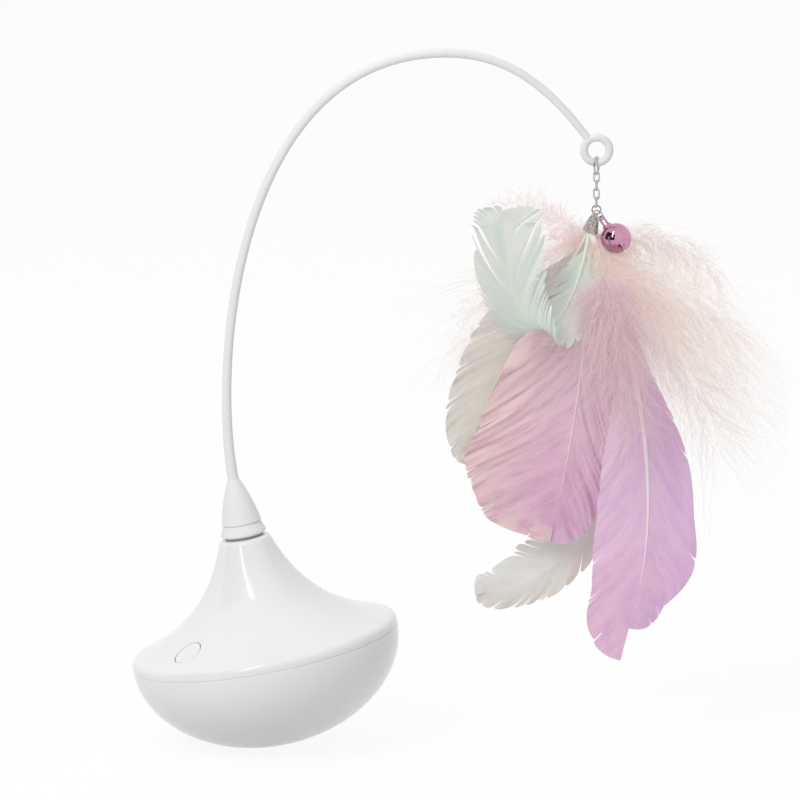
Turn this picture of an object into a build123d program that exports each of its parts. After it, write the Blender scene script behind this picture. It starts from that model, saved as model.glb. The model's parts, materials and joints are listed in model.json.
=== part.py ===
from build123d import *
from math import acos, asin, cos, degrees, exp, pi, radians, sin, sqrt, tan
import os

# An automatic cat teaser: a weighted round-bottomed base that leans and rocks, a geared
# motor inside it, and a bent wand that carries a bell and a bunch of feathers round.
# Millimetres, +Z up, +X towards the feathers, origin where the bowl touches the floor.

# Stance and shared clearances
lean = 10.5
overrun = 1.0
fit_gap = 0.1
running_gap = 0.05
press_gap = 0.01
seat_gap = 0.02

# Bowl and cover
bowl_radius = 47.0
bowl_depth = 34.6
quarter_handle_share = 0.5523
shell_wall = 1.8
lip_wall = 1.0
lip_height = 1.2
snap_bead_radius = 0.25
snap_bead_sink = 0.1
seam_chamfer = 0.3
rim_side = 1.2
rim_round = 2.8
cover_height = 39.6
neck_radius = 9.2
neck_round_height = 1.3
neck_face_radius = 7.4
flare_rim_angle = 17.8
flare_neck_angle = 71.3
flare_rim_pull = 21.8
flare_neck_pull = 16.0
neck_top_thickness = 11.6
post_radius = 2.2

# Screws
screw_radius = 0.9
screw_head_radius = 1.9
screw_head_height = 1.3
screw_recess_depth = 0.7
screw_recess_width = 0.5
screw_recess_length = 2.2
screw_hole_gap = 0.15
pilot_spare = 0.6

# Gear train, counted from the slow gear on the spindle down to the motor
module = 0.5
pressure_angle = 20.0
pinion_teeth = 10
wheel_teeth = 36
output_teeth = 40
tooth_shift_share = 0.4
tip_share = 1.0
root_share = 1.25
backlash = 0.12
face_width = 2.5
level_gap = 0.5
axial_gap = 0.05
web_recess = 0.5
rim_band = 1.4
hub_radius = 1.7
output_hub_radius = 4.0
second_gear_angle = 90.0
first_gear_angle = -25.0
motor_angle = -80.0

# Gear case
case_bottom = -6.0
case_floor = 1.5
case_lid = 1.5
case_wall = 1.2
case_clearance = 0.6
ear_radius = 2.6
ear_stand_off = 1.0
ear_angles = [190.0, 262.0, 130.0, 20.0]
case_screw_bite = 5.0
gear_pin_radius = 0.75
gear_pin_seat = 1.1
foot_bearing_wall = 1.5
foot_bearing_drop = 1.6
foot_bearing_depth = 2.1

# Motor
motor_radius = 7.7
motor_room_below = 15.6
motor_can_wall = 0.8
motor_boss_radius = 3.0
motor_boss_height = 1.0
motor_shaft_radius = 1.0
motor_tail = 1.5
motor_cap_thickness = 2.0
motor_socket_wall = 1.2
motor_socket_depth = 6.0
armature_radius = 5.0
armature_end_room = 9.0
magnet_air_gap = 0.4
magnet_arc = 120.0
magnet_angles = [0.0, 180.0]
terminal_width = 2.0
terminal_length = 2.6
terminal_thickness = 0.4
terminal_spacing = 9.0

# Spindle, neck bushing and collar
spindle_radius = 2.0
spindle_flat_distance = 1.5
bushing_radius = 5.0
bushing_flange_radius = 7.0
bushing_flange = 1.5
bushing_top_clear = 0.4
clip_radius = 4.0
clip_thickness = 0.6
clip_groove_depth = 0.4
clip_mouth = 2.6
washer_radius = 6.6
washer_thickness = 0.8
collar_foot_radius = 7.1
collar_belly_radius = 7.9
collar_belly_height = 1.1
collar_top_radius = 6.6
collar_height = 4.1
stub_radius = 3.0
stub_length = 7.4
stub_chamfer = 0.6
spindle_end_clear = 2.9

# Wand
boot_radius = 6.95
boot_foot_round = 0.5
boot_length = 15.8
boot_bore_clear = 0.3
boot_waist_radius = 5.15
boot_waist_height = 7.6
rod_foot_radius = 2.0
rod_radius = 1.56
rod_tip_radius = 1.36
rod_taper_length = 18.0
rod_root = 1.4
rise_sections = 16
fall_sections = 8
foot_crowding_power = 1.3
wand_apex_x = 68.2
wand_apex_z = 244.4
wand_rise_pull = 42.8
wand_apex_back_pull = 72.7
wand_apex_front_pull = 22.9
wand_tip_pull = 21.0
wand_tip_angle = 53.0
eye_x = 120.4
eye_z = 210.55
eye_ring_radius = 4.4
eye_wire_radius = 1.41

# Jump ring, chain and end cap
hang_gap = 0.09
jump_ring_radius = 3.0
jump_wire_radius = 0.45
jump_ring_turn = -14.5
link_gap = 0.05
link_wire_radius = 0.3
link_round_radius = 0.95
link_straight = 1.7
link_count = 4
cap_loop_radius = 1.5
cap_loop_wire = 0.3
cap_lean = 16.0
cap_length = 6.5
cap_mouth_radius = 2.8
cap_shoulder_radius = 2.1
cap_shoulder_height = 3.8
cap_crown_radius = 0.9
cap_wall = 0.35
cap_socket_depth = 3.6

# Bell
bell_x = 127.2
bell_y = -2.0
bell_z = 179.9
bell_radius = 5.3
bell_wall = 0.3
bell_lean = 36.0
bell_slit = 0.7
bell_hole_radius = 0.75
bell_slit_reach = 66.0
bell_loop_wire = 0.4
bell_loop_width = 2.6
bell_loop_reach = 4.4
bell_collar_radius = 1.7
bell_collar_height = 0.5
bell_pellet_radius = 1.7
bell_ring_wire = 0.25
bell_ring_turn = 45.0
bell_ring_seat = 2.9
cap_ring_drop = 0.2

# Power button and its switch board
button_inset = 11.2
button_angle = 224.4
button_radius = 4.7
button_gap = 0.3
button_edge_round = 0.3
button_travel = 0.6
button_flange_radius = 5.7
button_flange = 0.8
sleeve_wall = 1.2
sleeve_bottom = 2.2
button_stem_radius = 1.6
plunger_radius = 1.7
plunger_length = 2.4
plunger_proud = 0.8
switch_side = 6.0
switch_height = 3.4
board_thickness = 1.2
switch_board_length = 21.0
switch_board_width = 9.0
switch_screw_spacing = 16.8
switch_post_radius = 1.7
switch_board_top = -3.6
switch_screw_bite = 4.0
board_corner = 1.0

# Battery and counterweight
weight_top_share = 0.477
weight_edge = -6.0
weight_gap = 0.3
weight_screw_reach_share = 0.613
weight_screw_angle = 128.7
weight_post_radius = 3.0
weight_post_share = 0.65
weight_screw_bite = 3.0
pad_thickness = 1.0
pad_inset = 2.0
battery_end_room = 17.0
battery_width = 20.0
battery_thickness = 6.0
battery_round = 2.0
battery_inset = 27.0
battery_y = -4.0
battery_turn = 90.0

# Main board and charging socket
main_board_width = 26.0
main_board_depth = 17.0
main_board_top_share = 0.266
main_board_inset = 6.6
main_screw_x = 10.2
main_screw_inset = 12.0
main_screw_bite = 6.0
socket_width = 9.0
socket_height = 3.2
socket_depth = 7.3
socket_wall = 0.3
socket_sink = 2.1
socket_tongue_width = 6.7
socket_tongue = 0.7
socket_tongue_back = 1.0
port_gap = 0.3
chip_size = 5.0
chip_height = 0.9
chip_x = -5.0
chip_inset = 11.0
coil_radius = 2.0
coil_height = 2.2
coil_x = 5.0

# Feathers and down
quill_radius = 0.28
quill_root_share = 1.1
quill_taper_share = 0.6
quill_inner_ring = 0.82
quill_outer_ring = 1.4
vane_edge_share = 0.35
vane_root_share = 0.75
vane_camber_share = 0.12
feather_station_shares = [0.0, 0.04, 0.12, 0.25, 0.38, 0.48, 0.6, 0.75, 0.9, 1.0]

# Each feather's curve handles, width along its length and size
lilac_length = 150.0
lilac_quill_angle = 300.0
lilac_half_width = 18.0
lilac_handle_shares = [(0.11, -0.06, -0.31), (0.25, -0.07, -0.78), (0.03, -0.06, -0.98)]
lilac_left_shares = [0.02, 0.03, 0.12, 0.25, 0.5, 0.85, 0.95, 1.0, 0.6, 0.05]
lilac_right_shares = [0.02, 0.03, 0.12, 0.3, 0.7, 0.93, 0.97, 0.85, 0.5, 0.05]
pink_length = 113.0
pink_half_width = 33.0
pink_handle_shares = [(0.0, -0.04, -0.33), (-0.05, -0.04, -0.68), (-0.14, -0.04, -0.97)]
pink_left_shares = [0.01, 0.02, 0.15, 0.7, 0.92, 1.0, 1.0, 0.82, 0.45, 0.1]
pink_right_shares = [0.01, 0.02, 0.1, 0.25, 0.35, 0.4, 0.42, 0.48, 0.45, 0.1]
sage_length = 100.0
sage_quill_angle = 180.0
sage_half_width = 15.0
sage_handle_shares = [(-0.09, 0.02, -0.22), (-0.33, 0.02, -0.44), (-0.42, 0.02, -0.83)]
sage_shares = [0.02, 0.04, 0.1, 0.4, 0.7, 0.9, 1.0, 0.85, 0.5, 0.08]
white_length = 140.0
white_quill_angle = 60.0
white_half_width = 14.0
white_handle_shares = [(0.02, 0.04, -0.44), (0.12, 0.04, -0.86), (-0.25, 0.04, -0.92)]
white_upper_shares = [0.02, 0.03, 0.1, 0.15, 0.25, 0.5, 0.85, 1.0, 0.8, 0.2]
white_lower_shares = [0.02, 0.03, 0.1, 0.15, 0.25, 0.4, 0.6, 0.6, 0.5, 0.2]
mint_length = 60.0
mint_quill_angle = 240.0
mint_half_width = 14.0
mint_handle_shares = [(-0.1, -0.11, -0.6), (-0.43, -0.41, -0.77), (-0.5, -0.34, 0.1)]
mint_bend_share = 0.75
mint_left_shares = [0.02, 0.03, 0.1, 0.35, 0.4, 0.42, 0.5, 0.7, 0.75, 0.5]
mint_right_shares = [0.02, 0.06, 0.3, 0.9, 0.8, 0.7, 0.5, 0.5, 0.45, 0.3]
mint_across_ways = [(0.87, 0.0, -0.5), (1.0, 0.0, 0.25)]
down_shares = [0.03, 0.04, 0.12, 0.4, 0.8, 1.0, 0.9, 0.6, 0.35, 0.1]
down_quill_rings = {
    "down_right_high": quill_outer_ring,
    "down_right_middle": quill_outer_ring,
    "down_right_low": quill_inner_ring,
    "down_front": quill_outer_ring,
    "down_left_low": quill_outer_ring,
    "down_back": quill_outer_ring,
    "down_left_high": quill_inner_ring,
}
down_quill_angles = {
    "down_right_high": 30.0,
    "down_right_middle": 330.0,
    "down_right_low": 0.0,
    "down_front": 270.0,
    "down_left_low": 150.0,
    "down_back": 90.0,
    "down_left_high": 120.0,
}
down_lengths = {
    "down_right_high": 60.0,
    "down_right_middle": 75.0,
    "down_right_low": 95.0,
    "down_front": 75.0,
    "down_left_low": 80.0,
    "down_back": 85.0,
    "down_left_high": 50.0,
}
down_half_widths = {
    "down_right_high": 8.0,
    "down_right_middle": 8.0,
    "down_right_low": 8.0,
    "down_front": 9.0,
    "down_left_low": 14.0,
    "down_back": 11.0,
    "down_left_high": 7.0,
}
down_handle_shares = {
    "down_right_high": [(-0.02, 0.1, -0.16), (0.54, 0.26, 0.11), (0.71, 0.18, -0.36)],
    "down_right_middle": [(0.03, -0.12, -0.3), (0.45, -0.16, -0.14), (0.73, -0.14, -0.58)],
    "down_right_low": [(0.01, 0.07, -0.23), (0.33, 0.13, -0.23), (0.49, 0.11, -0.88)],
    "down_front": [(-0.01, -0.2, -0.18), (0.14, -0.3, -0.31), (0.19, -0.28, -0.93)],
    "down_left_low": [(-0.1, 0.06, -0.2), (-0.44, 0.16, -0.13), (-0.6, 0.13, -0.73)],
    "down_back": [(0.01, 0.16, -0.26), (0.06, 0.23, -0.38), (0.01, 0.23, -0.92)],
    "down_left_high": [(-0.04, 0.16, -0.2), (-0.36, 0.26, 0.28), (-0.68, 0.15, 0.08)],
}


# Frames
tilt = radians(lean)
rim_z = sqrt((bowl_radius * sin(tilt)) ** 2 + (bowl_depth * cos(tilt)) ** 2)
rim_x = (bowl_radius ** 2 - bowl_depth ** 2) * sin(tilt) * cos(tilt) / rim_z
base = Plane(
    origin=(rim_x, 0, rim_z),
    x_dir=(cos(tilt), 0, sin(tilt)),
    z_dir=(-sin(tilt), 0, cos(tilt)),
)
section = Plane(origin=base.origin, x_dir=base.x_dir, z_dir=-base.y_dir)
spin_axis = Axis(base.origin, base.z_dir)


def spot_at(distance, angle, centre=(0, 0)):
    """Return the point at a distance and an angle, in degrees, from a centre."""
    return (
        centre[0] + distance * cos(radians(angle)),
        centre[1] + distance * sin(radians(angle)),
    )


def frame_at(spot, angle=0):
    """Return the base frame moved to a spot and turned about the spindle's direction."""
    heading = base.x_dir * cos(radians(angle)) + base.y_dir * sin(radians(angle))
    origin = base.origin + base.x_dir * spot[0] + base.y_dir * spot[1]
    return Plane(origin=origin, x_dir=heading, z_dir=base.z_dir)


def screws(frame, spots, seat, length, head_up=True):
    """Make pan-head screws at the spots, with their heads on the seat height."""
    way = 1 if head_up else -1
    with BuildPart() as screw_set:
        with BuildSketch(frame.offset(seat)):
            with Locations(*spots):
                Circle(screw_radius)
        extrude(amount=-way * length)
        with BuildSketch(frame.offset(seat)):
            with Locations(*spots):
                Circle(screw_head_radius)
        extrude(amount=way * screw_head_height)
        with BuildSketch(frame.offset(seat + way * screw_head_height)):
            with Locations(*spots):
                Rectangle(screw_recess_length, screw_recess_width)
                Rectangle(screw_recess_width, screw_recess_length)
        extrude(amount=-way * screw_recess_depth, mode=Mode.SUBTRACT)
    return screw_set


def wire_ring(centre, normal, ring_radius, wire_radius):
    """Make a closed ring of round wire about a normal."""
    normal = Vector(*normal).normalized()
    side = normal.cross(Vector(0, 0, 1))
    side = side.normalized() if side.length > 0 else Vector(1, 0, 0)
    with BuildPart() as ring:
        with BuildSketch(Plane(origin=centre, x_dir=side, z_dir=normal.cross(side))):
            with Locations((ring_radius, 0)):
                Circle(wire_radius)
        revolve(axis=Axis(centre, normal))
    return ring


# Outline shared by the cover, its hollow and the button's face
def flare(wall):
    """Draw the cover's side from the rim up to the neck, moved in by a wall."""
    rim_way = (-cos(radians(flare_rim_angle)), sin(radians(flare_rim_angle)))
    neck_way = (-cos(radians(flare_neck_angle)), sin(radians(flare_neck_angle)))
    rim_end = (
        bowl_radius - rim_round + (rim_round - wall) * rim_way[1],
        rim_side - (rim_round - wall) * rim_way[0],
    )
    neck_end = (neck_radius - wall * neck_way[1], cover_height - neck_round_height + wall * neck_way[0])
    rim_arc = CenterArc(
        (bowl_radius - rim_round, rim_side), rim_round - wall, 0, 90 - flare_rim_angle
    )
    side = Bezier(
        rim_end,
        (rim_end[0] + flare_rim_pull * rim_way[0], rim_end[1] + flare_rim_pull * rim_way[1]),
        (
            neck_end[0] - flare_neck_pull * neck_way[0],
            neck_end[1] - flare_neck_pull * neck_way[1],
        ),
        neck_end,
    )
    return rim_arc, side, neck_way


def bowl_curve(radius, depth, drop):
    """Draw the bowl's side as a quarter ellipse that ends a drop below the seam."""
    return Bezier(
        (0, -depth),
        (quarter_handle_share * radius, -depth),
        (radius, -quarter_handle_share * depth),
        (radius, -drop),
    )


os.makedirs("parts", exist_ok=True)
neck_ceiling = cover_height - neck_top_thickness

# Lower bowl: half an ellipsoid with a snap lip inside the seam
inner_radius = bowl_radius - shell_wall
inner_depth = bowl_depth - shell_wall
lip_outer = inner_radius - fit_gap
lip_inner = lip_outer - lip_wall
main_board_top = -main_board_top_share * bowl_depth
main_board_bottom = main_board_top - board_thickness
main_board_edge = bowl_radius - main_board_inset
main_screw_y = main_board_edge - main_screw_inset
main_screw_spots = [(-main_screw_x, main_screw_y), (main_screw_x, main_screw_y)]
weight_top = -weight_top_share * bowl_depth
weight_post_top = -weight_post_share * bowl_depth
weight_screw_spots = [
    spot_at(weight_screw_reach_share * bowl_radius, turn)
    for turn in (-weight_screw_angle, weight_screw_angle)
]
port_height = main_board_top + socket_height / 2
socket_mouth = bowl_radius - socket_sink
port_plane = Plane(
    origin=base.origin + base.z_dir * port_height, x_dir=base.x_dir, z_dir=base.y_dir
)

with BuildPart() as bowl_hollow:
    with BuildSketch(section):
        with BuildLine():
            belly = bowl_curve(inner_radius, inner_depth, 0)
            Polyline(
                belly @ 1,
                (inner_radius, lip_height + overrun),
                (0, lip_height + overrun),
                belly @ 0,
            )
        make_face()
        with Locations((lip_inner + bowl_radius / 2, 0)):
            Rectangle(bowl_radius, bowl_depth, mode=Mode.SUBTRACT)
    revolve(axis=spin_axis)
    with BuildSketch(base.offset(main_board_bottom)):
        with Locations(*main_screw_spots):
            Circle(post_radius)
    extrude(amount=-bowl_depth, mode=Mode.SUBTRACT)
    with BuildSketch(base.offset(weight_post_top)):
        with Locations(*weight_screw_spots):
            Circle(weight_post_radius)
    extrude(amount=-bowl_depth, mode=Mode.SUBTRACT)

with BuildPart() as lower_bowl:
    with BuildSketch(section):
        with BuildLine():
            skin = bowl_curve(bowl_radius, bowl_depth, seam_chamfer)
            Polyline(
                skin @ 1,
                (bowl_radius - seam_chamfer, 0),
                (lip_outer, 0),
                (lip_outer, lip_height),
                (0, lip_height),
                skin @ 0,
            )
        make_face()
        with Locations((lip_outer - snap_bead_sink, lip_height / 2)):
            Circle(snap_bead_radius)
    revolve(axis=spin_axis)
    add(bowl_hollow.part, mode=Mode.SUBTRACT)
    with BuildSketch(base.offset(main_board_bottom)):
        with Locations(*main_screw_spots):
            Circle(screw_radius + press_gap)
    extrude(amount=-(main_screw_bite + pilot_spare), mode=Mode.SUBTRACT)
    with BuildSketch(base.offset(weight_post_top)):
        with Locations(*weight_screw_spots):
            Circle(screw_radius + press_gap)
    extrude(amount=-(weight_screw_bite + pilot_spare), mode=Mode.SUBTRACT)
    with BuildSketch(port_plane.offset(main_board_edge)):
        SlotOverall(socket_width + 2 * port_gap, socket_height + 2 * port_gap)
    extrude(amount=bowl_radius, mode=Mode.SUBTRACT)
lower_bowl.part.label = "lower_bowl"
export_step(lower_bowl.part, "parts/lower_bowl.step")

# Counterweight: a crescent of steel that fills the low side of the bowl
weight_outer_radius = inner_radius - weight_gap
weight_outer_depth = inner_depth - weight_gap
weight_rim_angle = degrees(asin(-weight_top / weight_outer_depth))
notch_middle = main_board_edge - main_board_depth - weight_gap + bowl_radius / 2

with BuildPart() as counterweight:
    with BuildSketch(section):
        with BuildLine():
            hull_arc = EllipticalCenterArc(
                (0, 0), weight_outer_radius, weight_outer_depth, -90,
                arc_size=90 - weight_rim_angle,
            )
            Polyline(hull_arc @ 1, (0, weight_top), hull_arc @ 0)
        make_face()
    revolve(axis=spin_axis)
    with BuildSketch(base.offset(weight_top + overrun)):
        with Locations((weight_edge + bowl_radius, 0)):
            Rectangle(2 * bowl_radius, 2 * bowl_radius)
        with Locations((0, notch_middle), (0, -notch_middle)):
            Rectangle(main_board_width + 2 * weight_gap, bowl_radius)
    extrude(amount=-bowl_depth, mode=Mode.SUBTRACT)
    with BuildSketch(base.offset(weight_post_top + seat_gap)):
        with Locations(*weight_screw_spots):
            Circle(weight_post_radius + weight_gap)
    extrude(amount=-bowl_depth, mode=Mode.SUBTRACT)
    with BuildSketch(base.offset(weight_top)):
        with Locations(*weight_screw_spots):
            Circle(screw_radius + screw_hole_gap)
    extrude(amount=-bowl_depth, mode=Mode.SUBTRACT)
counterweight.part.label = "counterweight"
export_step(counterweight.part, "parts/counterweight.step")

counterweight_screws = screws(
    base, weight_screw_spots, weight_top, weight_top - weight_post_top + weight_screw_bite
)
counterweight_screws.part.label = "counterweight_screws"
export_step(counterweight_screws.part, "parts/counterweight_screws.step")

# Battery on its foam pad, above the counterweight
battery_length = bowl_radius - battery_end_room
battery_frame = frame_at((battery_inset - bowl_radius, battery_y), battery_turn)
with BuildPart() as battery_pad:
    with BuildSketch(battery_frame.offset(weight_top)):
        Rectangle(battery_length - 2 * pad_inset, battery_width - 2 * pad_inset)
    extrude(amount=pad_thickness)
battery_pad.part.label = "battery_pad"
export_step(battery_pad.part, "parts/battery_pad.step")

battery_bottom = weight_top + pad_thickness
with BuildPart() as battery_cell:
    with BuildSketch(battery_frame.offset(battery_bottom)):
        Rectangle(battery_length, battery_width)
    extrude(amount=battery_thickness)
    fillet(
        battery_cell.edges().filter_by(Axis(battery_frame.origin, battery_frame.x_dir)),
        battery_round,
    )
battery_cell.part.label = "battery_cell"
export_step(battery_cell.part, "parts/battery_cell.step")

# Where the gears, the case and its screws stand
gear_level = [
    case_bottom + case_floor + level_gap + step * (face_width + level_gap) for step in range(3)
]
case_lid_bottom = gear_level[2] + face_width + level_gap
case_top = case_lid_bottom + case_lid
output_pitch = module * output_teeth / 2
wheel_pitch = module * wheel_teeth / 2
pinion_pitch = module * pinion_teeth / 2
wheel_tip_rise = module * (tip_share - tooth_shift_share)
output_spot = (0, 0)
second_spot = spot_at(output_pitch + pinion_pitch, second_gear_angle)
first_spot = spot_at(wheel_pitch + pinion_pitch, first_gear_angle, second_spot)
motor_spot = spot_at(wheel_pitch + pinion_pitch, motor_angle, first_spot)
output_case_radius = output_pitch + wheel_tip_rise + case_clearance + case_wall
wheel_case_radius = wheel_pitch + wheel_tip_rise + case_clearance + case_wall
motor_socket_radius = motor_radius + seat_gap + motor_socket_wall
ear_spots = [
    spot_at(radius + ear_stand_off, turn, spot)
    for radius, turn, spot in zip(
        (output_case_radius, output_case_radius, wheel_case_radius, wheel_case_radius),
        ear_angles,
        (output_spot, output_spot, second_spot, first_spot),
    )
]
button_frame = frame_at(spot_at(bowl_radius - button_inset, button_angle), button_angle)
sleeve_radius = button_radius + button_gap + sleeve_wall
switch_screw_spots = [(0, -switch_screw_spacing / 2), (0, switch_screw_spacing / 2)]

# Upper cover: a flared cone with posts for the gear case and a sleeve for the button
with BuildPart() as cover_form:
    with BuildSketch(section):
        with BuildLine():
            rim_arc, side, neck_way = flare(0)
            shoulder = TangentArc(side @ 1, (neck_face_radius, cover_height), tangent=neck_way)
            Polyline(
                shoulder @ 1, (0, cover_height), (0, 0), (bowl_radius, 0), rim_arc @ 0
            )
        make_face()
    revolve(axis=spin_axis)

with BuildPart() as cover_hollow:
    with BuildSketch(section):
        with BuildLine():
            rim_arc, side, neck_way = flare(shell_wall)
            Polyline(
                side @ 1,
                (0, (side @ 1).Y),
                (0, -overrun),
                (inner_radius, -overrun),
                rim_arc @ 0,
            )
        make_face()
    revolve(axis=spin_axis)
    with BuildSketch(base.offset(neck_ceiling)):
        Circle(bowl_radius)
    extrude(amount=cover_height, mode=Mode.SUBTRACT)
    with BuildSketch(base.offset(case_top)):
        with Locations(*ear_spots):
            Circle(post_radius)
    extrude(amount=cover_height, mode=Mode.SUBTRACT)
    with BuildSketch(button_frame.offset(sleeve_bottom)):
        Circle(sleeve_radius)
    extrude(amount=cover_height, mode=Mode.SUBTRACT)
    with BuildSketch(button_frame):
        with Locations(*switch_screw_spots):
            Circle(switch_post_radius)
    extrude(amount=cover_height, mode=Mode.SUBTRACT)

with BuildPart() as upper_cover:
    add(cover_form.part)
    add(cover_hollow.part, mode=Mode.SUBTRACT)
    chamfer(
        upper_cover.edges().filter_by(GeomType.CIRCLE).group_by(SortBy.RADIUS)[-1]
        .sort_by(spin_axis)[0],
        seam_chamfer,
    )
    with BuildSketch(section):
        with Locations((inner_radius - snap_bead_sink, lip_height / 2)):
            Circle(snap_bead_radius + running_gap)
    revolve(axis=spin_axis, mode=Mode.SUBTRACT)
    with BuildSketch(button_frame.offset(switch_board_top)):
        with Locations(*switch_screw_spots):
            Circle(switch_post_radius)
    extrude(amount=rim_side - switch_board_top)
    with BuildSketch(base.offset(neck_ceiling - overrun)):
        Circle(bushing_radius + press_gap)
    extrude(amount=cover_height, mode=Mode.SUBTRACT)
    with BuildSketch(button_frame):
        Circle(button_radius + button_gap)
    extrude(amount=cover_height, mode=Mode.SUBTRACT)
    with BuildSketch(base.offset(case_top)):
        with Locations(*ear_spots):
            Circle(screw_radius + press_gap)
    extrude(amount=case_screw_bite + pilot_spare, mode=Mode.SUBTRACT)
    with BuildSketch(button_frame.offset(switch_board_top)):
        with Locations(*switch_screw_spots):
            Circle(screw_radius + press_gap)
    extrude(amount=switch_screw_bite + pilot_spare, mode=Mode.SUBTRACT)
upper_cover.part.label = "upper_cover"
export_step(upper_cover.part, "parts/upper_cover.step")

# Power button, flush with the cover, and the switch under it
flange_top = sleeve_bottom - running_gap
plunger_top = switch_board_top + switch_height + plunger_proud
with BuildPart() as power_button:
    with BuildSketch(button_frame.offset(flange_top)):
        Circle(button_radius)
    extrude(amount=cover_height)
    add(cover_form.part, mode=Mode.INTERSECT)
    fillet(power_button.edges().sort_by(spin_axis)[-1], button_edge_round)
    with BuildSketch(button_frame.offset(flange_top)):
        Circle(button_flange_radius)
    extrude(amount=-button_flange)
    with BuildSketch(button_frame.offset(plunger_top + running_gap)):
        Circle(button_stem_radius)
    extrude(amount=flange_top - plunger_top - running_gap)
power_button.part.label = "power_button"
export_step(power_button.part, "parts/power_button.step")

plunger_bottom = plunger_top - plunger_length
with BuildPart() as switch_plunger:
    with BuildSketch(button_frame.offset(plunger_bottom)):
        Circle(plunger_radius)
    extrude(amount=plunger_length)
switch_plunger.part.label = "switch_plunger"
export_step(switch_plunger.part, "parts/switch_plunger.step")

with BuildPart() as tact_switch:
    with BuildSketch(button_frame.offset(switch_board_top)):
        Rectangle(switch_side, switch_side)
    extrude(amount=switch_height)
    with BuildSketch(button_frame.offset(plunger_bottom - button_travel - fit_gap)):
        Circle(plunger_radius + running_gap)
    extrude(amount=plunger_length + switch_height, mode=Mode.SUBTRACT)
tact_switch.part.label = "tact_switch"
export_step(tact_switch.part, "parts/tact_switch.step")

with BuildPart() as switch_board:
    with BuildSketch(button_frame.offset(switch_board_top)):
        RectangleRounded(switch_board_width, switch_board_length, board_corner)
        with Locations(*switch_screw_spots):
            Circle(screw_radius + screw_hole_gap, mode=Mode.SUBTRACT)
    extrude(amount=-board_thickness)
switch_board.part.label = "switch_board"
export_step(switch_board.part, "parts/switch_board.step")

switch_board_screws = screws(
    button_frame, switch_screw_spots, switch_board_top - board_thickness,
    board_thickness + switch_screw_bite, head_up=False,
)
switch_board_screws.part.label = "switch_board_screws"
export_step(switch_board_screws.part, "parts/switch_board_screws.step")

# Main board with the charging socket, carried by the bowl at the back
main_board_frame = frame_at((0, main_board_edge - main_board_depth / 2))
main_hole_y = main_board_depth / 2 - main_screw_inset
with BuildPart() as main_board:
    with BuildSketch(main_board_frame.offset(main_board_top)):
        RectangleRounded(main_board_width, main_board_depth, board_corner)
        with Locations((-main_screw_x, main_hole_y), (main_screw_x, main_hole_y)):
            Circle(screw_radius + screw_hole_gap, mode=Mode.SUBTRACT)
    extrude(amount=-board_thickness)
    with BuildSketch(main_board_frame.offset(main_board_top)):
        with Locations((chip_x, main_board_depth / 2 - chip_inset)):
            Rectangle(chip_size, chip_size)
    extrude(amount=chip_height)
    with BuildSketch(main_board_frame.offset(main_board_top)):
        with Locations((coil_x, main_board_depth / 2 - chip_inset)):
            Circle(coil_radius)
    extrude(amount=coil_height)
main_board.part.label = "main_board"
export_step(main_board.part, "parts/main_board.step")

main_board_screws = screws(
    base, main_screw_spots, main_board_top, board_thickness + main_screw_bite
)
main_board_screws.part.label = "main_board_screws"
export_step(main_board_screws.part, "parts/main_board_screws.step")

with BuildPart() as charging_socket:
    with BuildSketch(port_plane.offset(socket_mouth)):
        SlotOverall(socket_width, socket_height)
    extrude(amount=-socket_depth)
    with BuildSketch(port_plane.offset(socket_mouth)):
        SlotOverall(socket_width - 2 * socket_wall, socket_height - 2 * socket_wall)
        Rectangle(socket_tongue_width, socket_tongue, mode=Mode.SUBTRACT)
    extrude(amount=-(socket_depth - socket_tongue_back), mode=Mode.SUBTRACT)
charging_socket.part.label = "charging_socket"
export_step(charging_socket.part, "parts/charging_socket.step")


# Gears: involute teeth, with the pinions shifted out and the wheels in against undercut
def involute(angle):
    """Return the involute of an angle in degrees."""
    return tan(radians(angle)) - radians(angle)


def tooth_angles(teeth, shift):
    """Return a tooth's half angles at its root, middle and tip, with the radii there."""
    pitch = module * teeth / 2
    ground = pitch * cos(radians(pressure_angle))
    root = pitch - module * (root_share - shift)
    tip = pitch + module * (tip_share + shift)
    thick = module * (pi / 2 + 2 * shift * tan(radians(pressure_angle))) - backlash / 2
    at_pitch = thick / (2 * pitch) + involute(pressure_angle)
    start = max(root, ground)
    middle = (start + tip) / 2
    halves = [
        degrees(at_pitch - involute(degrees(acos(ground / radius))))
        for radius in (start, middle, tip)
    ]
    return root, (start, middle, tip), halves


def gear_outline(teeth, shift, phase):
    """Draw a gear's outline, with one tooth centred on the phase angle."""
    root, radii, halves = tooth_angles(teeth, shift)
    pitch_angle = 360 / teeth
    for tooth in range(teeth):
        centre = phase + tooth * pitch_angle
        rise = [spot_at(radius, centre - half) for radius, half in zip(radii, halves)]
        fall = [spot_at(radius, centre + half) for radius, half in zip(radii, halves)]
        foot = spot_at(root, centre - halves[0])
        heel = spot_at(root, centre + halves[0])
        next_foot = spot_at(root, centre + pitch_angle - halves[0])
        if root < radii[0]:
            Line(foot, rise[0])
            Line(fall[0], heel)
        ThreePointArc(*rise)
        Line(rise[-1], fall[-1])
        ThreePointArc(*fall)
        Line(heel, next_foot)


def meshing_phase(driver_teeth, driver_phase, follower_teeth, line_angle):
    """Return the follower's phase that puts a gap opposite the driver's tooth."""
    turned = (driver_phase - line_angle) * driver_teeth / 360
    return line_angle + 180 + 360 / follower_teeth * (1 / 2 - turned)


second_pinion_phase = meshing_phase(output_teeth, 0, pinion_teeth, second_gear_angle)
first_pinion_phase = meshing_phase(wheel_teeth, 0, pinion_teeth, first_gear_angle)
motor_pinion_phase = meshing_phase(wheel_teeth, 0, pinion_teeth, motor_angle)


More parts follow.
